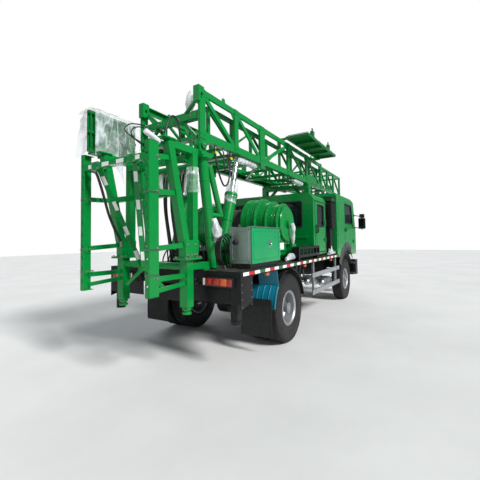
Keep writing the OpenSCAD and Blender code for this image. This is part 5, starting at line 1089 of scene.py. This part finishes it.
def intake_stack():
    """Louvres, seams and the green cap's rim of the air intake behind the cab."""
    x0, x1, y0, y1 = 2.85, 3.16, -1.15, -0.85
    black, cap = Build(), Build()
    for z in [1.975 + 0.06 * k for k in range(9)]:
        for axis, edge, inner, upper, a, b in ((0, y0, 0.012, 0.006, x0 + 0.03, x1 - 0.03),
                                               (1, x0, 0.001, 0.001, y0 + 0.03, y1 - 0.03)):
            black.prism([(edge - 0.012, z - 0.012), (edge + inner, z + 0.016), (edge + upper, z + 0.02),
                         (edge - 0.016, z - 0.008)], axis, a, b)
    for z in (1.915, 2.535):
        black.bar(A(x0 - 0.004, y0 - 0.004, z), A(x1 + 0.004, y0 - 0.004, z), 0.008, 0.03)
        black.bar(A(x0 - 0.004, y0, z), A(x0 - 0.004, y1, z), 0.008, 0.03)
    black.make("intake_louvres", "black", 0.001)
    for z in (2.575, 2.6):
        cap.bar(A(x0 - 0.01, y0 - 0.012, z), A(x1 + 0.01, y0 - 0.012, z), 0.006, 0.01)
        cap.bar(A(x0 - 0.012, y0 - 0.01, z), A(x0 - 0.012, y1 + 0.01, z), 0.006, 0.01)
    cap.make("intake_cap_beads", "green", 0.001)


def tank_and_guards():
    black, bolts = Build(), Build()
    for s in (1, -1):
        for x in (1.33, 2.98):
            for z in (0.935, 0.605):
                for d in (-0.012, 0.012):
                    bolts.bolt(A(x + d, s * 1.2055, z + d), (0, s, 0), 0.014)
        for z in (0.907, 0.963, 0.577, 0.633):
            black.bar(A(1.2, s * 1.206, z), A(3.18, s * 1.206, z), 0.003, 0.01)
        for x in (1.18, 3.2):
            for z in (0.89, 0.56):
                black.box(A(x - 0.004, s * 1.179, z - 0.002), A(x + 0.004, s * 1.206, z + 0.092))
    # Straps and filler cap of the fuel tank on the left side, bands and drains of the air tanks
    for x in (1.43, 2.17):
        strap = [A(x, y, z) for y, z in ((0.56, 0.556), (0.99, 0.556), (1.084, 0.65), (1.084, 0.99),
                                         (1.045, 1.045))]
        for p, q in zip(strap, strap[1:]):
            bolts.bar(p, q, *((0.006, 0.05) if abs((q - p).y) < 0.01 else (0.05, 0.006)))
    bolts.turn([(0, 0.054), (0.02, 0.058), (0.034, 0.056), (0.04, 0.045)], A(2.2, 0.9, 1.11), (0, 0, 1), 32)
    for y, z in ((-1.04, 0.66), (-0.87, 0.672), (-0.7, 0.66)):
        for x in (2.4, 2.72):
            bolts.band(A(x, y, z), (1, 0, 0), 0.015, 0.077, 0.081, 48)
        bolts.turn([(0, 0.016), (0.02, 0.016), (0.022, 0.01), (0.04, 0.01)], A(2.21, y, z), (-1, 0, 0), 6)
    bolts.make("tank_fittings", "zinc")
    black.make("guard_rail_beads", "rim")


mast()
racking_board()
tail()
work_platform()
rams()
gantry()
electric_cabinet()
intake_stack()
tank_and_guards()


# Hoses: each hangs or arches free between two fittings


def hose(name, diameter, body, steps, points):
    """A rubber hose along points from the rear axle, with a fitting at each end."""
    path = curve_through([A(*p) for p in points], steps)
    build = Build()
    build.tube(path, diameter / 2, 14)
    piece = build.make(name, "hose", 0, body, 60)
    build = Build()
    r = diameter / 2
    for a, b in ((path[0], path[1]), (path[-1], path[-2])):
        build.turn([(-0.012, r * 0.7), (-0.012, r * 1.5), (0.006, r * 1.5), (0.006, r * 1.25),
                    (0.05, r * 1.25), (0.055, r * 1.02)], a, (b - a).normalized(), 16)
    ends = [build.make(name + "_fittings", "zinc", body=body)]


def hoses():
    on_deck = DECK_Z + 0.002
    # Arch from the right arm's head to the cross beam behind it
    hose("hose_arch_right", 0.024, "truck", 10,
         [(-2.06, -0.522, 2.80), (-2.055, -0.47, 2.87)]
         + [(x, -0.44, z) for x, z in ((-2.035, 2.96), (-1.99, 3.12), (-1.92, 3.235), (-1.845, 3.25),
                                       (-1.785, 3.17), (-1.755, 2.99), (-1.75, 2.772))])
    # Arches behind the mast's left rear post
    hose("hose_arch_left_0", 0.018, "mast_lower", 10, [(-1.505, 0.445, 3.12)]
         + [(x, 0.44, z) for x, z in ((-1.60, 3.125), (-1.74, 3.155), (-1.88, 3.20), (-1.93, 3.25),
                                      (-1.875, 3.32), (-1.80, 3.36), (-1.70, 3.385))]
         + [(-1.60, 0.43, 3.395), (-1.512, 0.42, 3.40)])
    hose("hose_arch_left_1", 0.018, "mast_lower", 10, [(-1.505, 0.458, 3.105)]
         + [(x, 0.45, z) for x, z in ((-1.58, 3.10), (-1.68, 3.13), (-1.79, 3.19), (-1.80, 3.26),
                                      (-1.74, 3.325), (-1.65, 3.36), (-1.57, 3.37), (-1.512, 3.37))])
    # Loops under the mast, from the hard lines on its lower chord
    hose("hose_loop_front", 0.026, "mast_lower", 10,
         [(-1.10, -0.54, 3.04), (-1.12, -0.56, 2.90), (-1.10, -0.58, 2.70), (-1.02, -0.58, 2.55),
          (-0.92, -0.57, 2.47), (-0.80, -0.56, 2.53), (-0.72, -0.55, 2.74), (-0.68, -0.54, 3.04)])
    hose("hose_loop_rear", 0.022, "mast_lower", 10,
         [(-0.90, -0.54, 3.04), (-0.91, -0.56, 2.95), (-0.92, -0.57, 2.80), (-0.87, -0.57, 2.70),
          (-0.79, -0.56, 2.72), (-0.76, -0.55, 2.86), (-0.77, -0.54, 3.04)])
    # Supply hoses between the deck and the gantry's cross tube
    for k, (y, bow) in enumerate(((-0.24, 0.10), (-0.17, 0.05), (-0.09, 0.12), (-0.01, 0.06), (0.07, 0.09),
                                  (0.14, 0.04))):
        hose(f"hose_supply_{k}", 0.038, "truck", 8,
             [(-1.30, y, on_deck), (-1.30 - bow * 0.5, y, 1.42), (-1.36 - bow, y - 0.02, 1.75),
              (-1.40 - bow, y, 2.1), (-1.42 - bow * 0.6, y + 0.01, 2.4), (-1.45, y, 2.643)])
    # Loops that rise from the deck along the valve bank's rear ports and fall back
    for k in range(6):
        y, r = -0.24 + 0.095 * k, 0.10 + 0.02 * (k % 3)
        hose(f"hose_bank_{k}", 0.02, "truck", 8,
             [(-1.168, y, on_deck), (-1.17, y, 1.36), (-1.18 - r * 0.2, y, 1.45 + r * 0.3),
              (-1.19 - r * 0.7, y + 0.02, 1.45 + r * 0.4), (-1.22 - r, y + 0.03, 1.38),
              (-1.20 - r, y + 0.035, 1.30), (-1.19 - r, y + 0.035, on_deck)])
    # Hose that hangs from the top bar down to the left column
    hose("hose_drop_left", 0.036, "truck", 8,
         [(-2.392, 0.51, 2.575), (-2.33, 0.51, 2.56), (-2.27, 0.515, 2.44), (-2.20, 0.52, 2.25),
          (-2.12, 0.525, 2.02), (-2.02, 0.53, 1.82), (-1.93, 0.535, 1.68), (-1.90, 0.54, 1.60)])
    # Bundle that loops on the deck beside the gantry's foot
    for k in range(4):
        y, r, x = -0.74 - 0.035 * k, 0.17 + 0.018 * k, 0.01 * k
        loop = [(-1.33 + 0.012 * k, y + 0.02, on_deck), (-1.34, y + 0.02, 1.33)]
        loop += [(-1.29 - r * math.sin(a) * 0.7, y, 1.51 - r * math.cos(a))
                 for a in (0.9, 1.6, 2.3, 3.0, 3.7, 4.3)]
        loop += [(x - 1.13, y - 0.02, 1.36), (x - 1.12, y - 0.02, on_deck)]
        hose(f"hose_bundle_{k}", 0.022, "truck", 8, loop)
    # From the deck to the cheek beside the ram's foot
    route = ((-1.15, 0.36, on_deck), (-1.16, 0.36, 1.38), (-1.165, 0.355, 1.50), (-1.11, 0.35, 1.565),
             (-1.045, 0.35, 1.49), (-0.995, 0.36, 1.39), (-0.955, 0.395, 1.33))
    for name, s in SIDES:
        hose("hose_ram_" + name, 0.022, "truck", 8, [(x, s * y, z) for x, y, z in route])


# Thin film round parts that are still wrapped, as the photo shows

def crease(p, seed, scale=38.0):
    """A value from -1 to 1 with sharp folds that run mostly up and down, and some across them."""
    a = (p.x + 0.8 * p.y) * scale + seed
    b = p.z * scale * 0.3 - 2 * seed
    upright = 1 - 2 * abs(math.sin(a * 0.8 + 1.3 * math.sin(b)))
    across = 1 - 2 * abs(math.sin(0.5 * a + 2.4 * b + math.sin(0.7 * a - b)))
    return 0.65 * upright + 0.35 * across


def film_tube(name, material, body, rests_on, seed, depth, sides, steps, radii, points):
    """Film gathered round a part along a path, creased all over and open at both ends."""
    path = curve_through([A(*p) for p in points], steps)
    count = len(path)
    build = Build()
    spread = []
    for i in range(count):
        t = i / (count - 1) * (len(radii) - 1)
        k = min(int(t), len(radii) - 2)
        spread.append(radii[k] + (radii[k + 1] - radii[k]) * (t - k))
    build.tube(path, spread, sides, caps=False)
    for i, v in enumerate(build.verts):
        centre = path[i // sides]
        out = Vector(v) - centre
        build.verts[i] = tuple(centre + out * (1 + depth * crease(Vector(v), seed) / max(out.length, 0.01)))
    sheet_of(build, name, material, body)


def sheet_of(build, name, material, body):
    piece = build.make(name, material, 0, body, 25)


def film_panel(name, material, body, rests_on, seed, sag, depth, across, down, corners):
    """A creased film sheet between four corners: top left, top right, bottom right, bottom left."""
    a, b, c, d = [A(*p) for p in corners]
    normal = (b - a).cross(d - a).normalized()
    build = Build()
    verts = []
    for j in range(down + 1):
        for i in range(across + 1):
            u, v = i / across, j / down
            p = a.lerp(b, u).lerp(d.lerp(c, u), v)
            wave = sag * math.sin(math.pi * u) * math.sin(math.pi * v)
            verts.append(p + normal * (wave + depth * crease(p, seed, 16.0)))
    row = across + 1
    build.add(verts, [[j * row + i, j * row + i + 1, (j + 1) * row + i + 1, (j + 1) * row + i]
                      for j in range(down) for i in range(across)])
    sheet_of(build, name, material, body)


def films():
    # Columns: name, material, body, what it rests on, seed, sag, creases, cells across and down, corners.
    # Over the folded platform: rear end with the bag that hangs off it, the grating's side, and the top.
    # Then green film over the frame between the V arms, and what is left hanging from the top bar.
    for row in (
        ("platform_film_rear", "milky", "work_platform", "work_platform", 1.3, 0.03, 0.012, 24, 36,
         [(-2.30, 0.91, 3.36), (-2.345, 0.69, 3.46), (-2.345, 0.69, 2.86), (-2.36, 0.91, 2.81)]),
        ("platform_film_inner", "film", "work_platform", "work_platform", 2.1, 0.0, 0.008, 64, 30,
         [(-2.27, 0.612, 3.46), (-1.50, 0.612, 3.45), (-1.50, 0.612, 2.87), (-2.27, 0.612, 2.83)]),
        ("platform_film_top", "film", "work_platform", "work_platform", 3.2, -0.02, 0.01, 64, 14,
         [(-2.34, 0.90, 3.43), (-1.50, 0.84, 3.455), (-1.50, 0.61, 3.455), (-2.34, 0.61, 3.47)]),
        ("tail_film_panel", "pale_green", "truck", "gantry", 0.7, 0.015, 0.008, 40, 24,
         [(-1.46, 0.26, 2.70), (-1.46, -0.44, 2.72), (-1.46, -0.42, 2.34), (-1.46, 0.24, 2.30)]),
        ("top_bar_film", "film", "truck", "tail_frames", 5.1, 0.004, 0.004, 18, 16,
         [(-2.474, 0.06, 2.575), (-2.474, -0.2, 2.565), (-2.478, -0.24, 2.28), (-2.478, -0.14, 2.50)]),
    ):
        film_panel(*row)
    # Columns: name, material, body, what it rests on, seed, crease depth, sides, steps, radii, path.
    # Bags at the foot of the right ram, on the right front arm and on the mast's right rear post. Then film on
    # the drawworks' hub, by the tray, at the deck's edge, by the intake, on the mast's chord and the ram.
    for row in (
        ("leg_film", "milky", "truck", "gantry", 2.0, 0.012, 56, 14, (0.034, 0.058, 0.07, 0.05, 0.026),
         [(-1.27, -0.66, 1.62), (-1.29, -0.69, 1.69), (-1.31, -0.70, 1.77), (-1.33, -0.69, 1.86),
          (-1.345, -0.67, 1.95)]),
        ("arm_film", "film", "truck", "tail_frames", 4.0, 0.012, 64, 16, (0.072, 0.084, 0.076, 0.082, 0.07),
         [(-1.69, -0.60, 2.27), (-1.69, -0.60, 2.34), (-1.69, -0.595, 2.42), (-1.69, -0.59, 2.52),
          (-1.69, -0.59, 2.60)]),
        ("mast_lug_film", "milky", "mast_lower", "mast_lower", 2.6, 0.012, 64, 14,
         (0.04, 0.058, 0.066, 0.062, 0.036),
         [(-1.40, -0.37, 3.775), (-1.41, -0.355, 3.73), (-1.415, -0.34, 3.66), (-1.42, -0.335, 3.58),
          (-1.43, -0.33, 3.49)]),
        ("hub_film", "milky", "truck", "drawworks_guard", 6.3, 0.008, 44, 14,
         (0.028, 0.036, 0.03, 0.042, 0.024),
         [(0.4, -1.12, 1.93), (0.41, -1.13, 1.86), (0.44, -1.12, 1.77), (0.47, -1.10, 1.68),
          (0.5, -1.085, 1.57)]),
        ("tray_film", "milky", "truck", "deck", 7.7, 0.014, 48, 14, (0.035, 0.056, 0.048, 0.03),
         [(0.24, -1.06, 1.30), (0.34, -1.09, 1.34), (0.46, -1.10, 1.345), (0.60, -1.09, 1.30)]),
        ("edge_film", "milky", "truck", "deck", 8.8, 0.006, 28, 14, (0.036, 0.034, 0.036, 0.034),
         [(2.52, -1.15, 1.302), (2.68, -1.155, 1.306), (2.86, -1.15, 1.304), (3.02, -1.14, 1.302)]),
        ("stack_film", "milky", "truck", "deck", 9.4, 0.01, 40, 12, (0.07, 0.062, 0.045, 0.026),
         [(2.90, -1.08, 1.285), (2.93, -1.07, 1.36), (2.95, -1.06, 1.45), (2.96, -1.05, 1.54)]),
        ("chord_film", "milky", "mast_lower", "mast_lower", 8.1, 0.01, 48, 14, (0.04, 0.055, 0.06, 0.045),
         [(2.02, -0.5, 3.0), (2.15, -0.52, 2.985), (2.4, -0.52, 2.975), (2.62, -0.5, 3.0)]),
        ("ram_sleeve_film_right", "film", "ram_barrel_right", "ram_barrel_right", 1.5, 0.004, 36, 8,
         (0.102, 0.098, 0.096, 0.09),
         [(-0.622, -0.47, 2.23), (-0.585, -0.47, 2.35), (-0.54, -0.47, 2.49), (-0.51, -0.47, 2.58)]),
        ("mast_bundle_film", "milky", "mast_lower", "mast_lower", 3.0, 0.008, 48, 12,
         (0.045, 0.055, 0.045, 0.055, 0.045),
         [(-0.46, -0.50, 2.985), (-0.3, -0.51, 2.975), (-0.1, -0.51, 2.985), (0.1, -0.5, 2.98),
          (0.22, -0.49, 2.995)]),
    ):
        film_tube(*row)


hoses()
films()


# Wrapped rod, valve bank, and what shows under the deck

def wrapped_rod():
    """The rod wrapped in white film on the right arm's head, and two yellow tags on the hose loops."""
    rod = Build()
    path = [A(-2.235, -0.552, 2.806).lerp(A(-2.45, -0.54, 2.886), k / 14) for k in range(15)]
    rod.tube(path, [0.033 + 0.0015 * math.sin(4.1 * k) - (0.008 if k in (0, 14) else 0) for k in range(15)],
             20)
    rod.make("wrapped_rod", "wrap", 0.003)
    rod = Build()
    rod.tube([A(-2.10, -0.55, 2.81), A(-2.23, -0.55, 2.812)], 0.02, 16)
    rod.make("rod_socket", "green", 0.002)
    tags = Build()
    for x, y, z in ((-1.12, -0.575, 2.93), (-0.70, -0.567, 2.93)):
        tags.box(A(x - 0.03, y - 0.002, z - 0.018), A(x + 0.03, y, z + 0.018))
    tags.make("hose_tags", "yellow", 0.001, "mast_lower")


def valve_bank():
    """Valve bank on the deck between the rams: spool bodies, levers, ports and a pressure gauge."""
    black, steel = Build(), Build()
    black.box(A(-1.14, -0.30, 1.2615), A(-0.92, 0.30, 1.275))
    for y in (-0.26, 0.26):
        black.box(A(-1.10, y - 0.015, 1.2745), A(-0.96, y + 0.015, 1.345))
    black.box(A(-1.14, -0.30, 1.345), A(-0.94, -0.245, 1.50))
    black.box(A(-1.14, 0.285, 1.345), A(-0.94, 0.31, 1.48))
    for k in range(6):
        y = -0.24 + 0.0875 * k
        black.box(A(-1.13, y, 1.35), A(-0.95, y + 0.08, 1.485))
        steel.turn([(0, 0.02), (0.035, 0.02), (0.035, 0.015), (0.05, 0.015)], A(-0.95, y + 0.04, 1.42),
                   (1, 0, 0), 6)
        steel.turn([(0, 0.017), (0.022, 0.017)], A(-1.13, y + 0.04, 1.44), (-1, 0, 0), 6)
        steel.tube([A(-1.04, y + 0.04, 1.48), A(-1.04, y + 0.04, 1.53), A(-1.06, y + 0.04, 1.64)], 0.006, 8)
        black.turn([(0, 0.008), (0.012, 0.017), (0.03, 0.016), (0.037, 0.006)], A(-1.06, y + 0.04, 1.635),
                   (-0.15, 0, 1), 12)
    steel.turn([(0, 0.032), (0.024, 0.032), (0.028, 0.028)], A(-1.145, -0.27, 1.55), (-1, 0, 0), 24)
    steel.tube([A(-1.13, -0.27, 1.49), A(-1.13, -0.27, 1.55)], 0.008, 8)
    black.make("valve_bank", "black", 0.004)
    steel.make("valve_fittings", "zinc", 0.001)


def under_deck():
    """Battery box and air lines beside the chassis, liners of the front arches, and the tail box's bolts; the
    box is drawn deep and black, partly real, partly painted shade under the deck.
    """
    box, bolts = Build(), Build()
    # Battery box, deep and black: partly the real box, partly a dark block that paints the shade under the
    # deck
    box.box(A(1.26, -0.64, 0.60), A(2.06, -0.45, 1.08))
    box.box(A(1.24, -0.655, 1.055), A(2.08, -0.445, 1.095))
    for x in (1.40, 1.66, 1.92):
        box.box(A(x - 0.02, -0.652, 0.62), A(x + 0.02, -0.639, 1.05))
        box.box(A(x - 0.03, -0.45, 0.86), A(x + 0.03, -0.431, 0.95))
        bolts.box(A(x + 0.07, -0.662, 1.0), A(x + 0.10, -0.654, 1.07))
    for y, z in ((-0.60, 1.02), (-0.55, 1.07), (-0.50, 1.12)):
        box.tube([A(2.1, y, z), A(2.6, y - 0.02, z - 0.01), A(3.1, y, z)], 0.011, 8)
    box.make("battery_box_shade_fill", "black", 0.006)
    for name, s in SIDES:
        liner = Build()
        liner.arch(FRONT_X, AXLE_Z, 0.715, 0.703, 32, 150, 40, s * 0.70, s * 1.165)
        for y in (0.72, 0.9, 1.15):
            liner.arch(FRONT_X, AXLE_Z, 0.722, 0.702, 33, 149, 40, s * y, s * (y + 0.012))
        liner.make("arch_liner_" + name, "plastic", 0.002)
        bolts.bolts((-1.53, -1.29), [s * 1.2205], (0.83, 0.92, 1.01, 1.10), (0, s, 0), 0.01)
    bolts.make("under_deck_bolts", "zinc")


wrapped_rod()
valve_bank()
under_deck()


# Stage, light and camera

def plane(name, corners, material):
    mesh = bpy.data.meshes.new(name)
    mesh.from_pydata(corners, [], [list(range(len(corners)))])
    mesh.materials.append(material)
    piece = bpy.data.objects.new(name, mesh)
    bpy.context.scene.collection.objects.link(piece)


def floor_material():
    n = Nodes("studio_floor")
    n.set(Base_Color=n.mix(n.ramp(n.noise(0.6, 5), 0.3, 0.7), (0.66, 0.655, 0.64, 1), (0.74, 0.735, 0.72, 1)))
    n.set(Roughness=0.75)
    n.bump(n.noise(30, 4), 0.05, 0.002)
    return n.mat


def stage():
    size = 40
    plane("floor", [(-size, -size, 0), (size, -size, 0), (size, size, 0), (-size, size, 0)], floor_material())
    world = bpy.data.worlds.new("studio")
    bpy.context.scene.world = world
    world.use_nodes = True
    tree = world.node_tree
    background = tree.nodes["Background"]
    background.inputs["Color"].default_value = (0.8, 0.9, 1.0, 1)
    background.inputs["Strength"].default_value = 0.28
    seen = tree.nodes.new("ShaderNodeBackground")
    seen.inputs["Color"].default_value = (1, 1, 1, 1)
    seen.inputs["Strength"].default_value = 1.0
    rays = tree.nodes.new("ShaderNodeLightPath")
    either = tree.nodes.new("ShaderNodeMath")
    either.operation = "MAXIMUM"
    tree.links.new(rays.outputs["Is Camera Ray"], either.inputs[0])
    tree.links.new(rays.outputs["Is Transmission Ray"], either.inputs[1])
    mix = tree.nodes.new("ShaderNodeMixShader")
    tree.links.new(either.outputs[0], mix.inputs[0])
    tree.links.new(background.outputs[0], mix.inputs[1])
    tree.links.new(seen.outputs[0], mix.inputs[2])
    tree.links.new(mix.outputs[0], tree.nodes["World Output"].inputs["Surface"])
    for name, place, energy, width in (("key", (-3.4, -15, 12), 4.0, 14), ("fill", (-16, 4, 8), 0.35, 50),
                                       ("front", (14, 9, 9), 0.7, 40)):
        data = bpy.data.lights.new(name, "SUN")
        data.energy = energy
        data.angle = math.radians(width)
        lamp = bpy.data.objects.new(name, data)
        lamp.location = place
        lamp.rotation_euler = (-Vector(place)).to_track_quat("-Z", "Y").to_euler()
        bpy.context.scene.collection.objects.link(lamp)


def camera():
    """The photo's camera, fitted to it; the lens and shifts are in parts of the picture's width."""
    yaw, pitch, roll = math.radians(31.868), math.radians(2.589), math.radians(-0.8216)
    focal_px, photo_px, sensor = 319.351, 480, 36
    place = (-6.8669, -3.2286, 1.6604)
    ahead = Vector((math.cos(yaw) * math.cos(pitch), math.sin(yaw) * math.cos(pitch), math.sin(pitch)))
    level = Vector((math.sin(yaw), -math.cos(yaw), 0))
    above = level.cross(ahead)
    right = level * math.cos(roll) + above * math.sin(roll)
    up = above * math.cos(roll) - level * math.sin(roll)
    data = bpy.data.cameras.new("camera")
    data.sensor_fit = "HORIZONTAL"
    data.sensor_width = sensor
    data.lens = focal_px / photo_px * sensor
    data.shift_x = 0.00998
    data.shift_y = -0.03147
    data.clip_end = 200
    seen_from = bpy.data.objects.new("camera", data)
    rows = [(right[i], up[i], -ahead[i], place[i]) for i in range(3)]
    seen_from.matrix_world = Matrix((*rows, (0, 0, 0, 1)))
    bpy.context.scene.collection.objects.link(seen_from)
    bpy.context.scene.camera = seen_from


stage()
camera()
bpy.context.scene.view_settings.view_transform = "Standard"
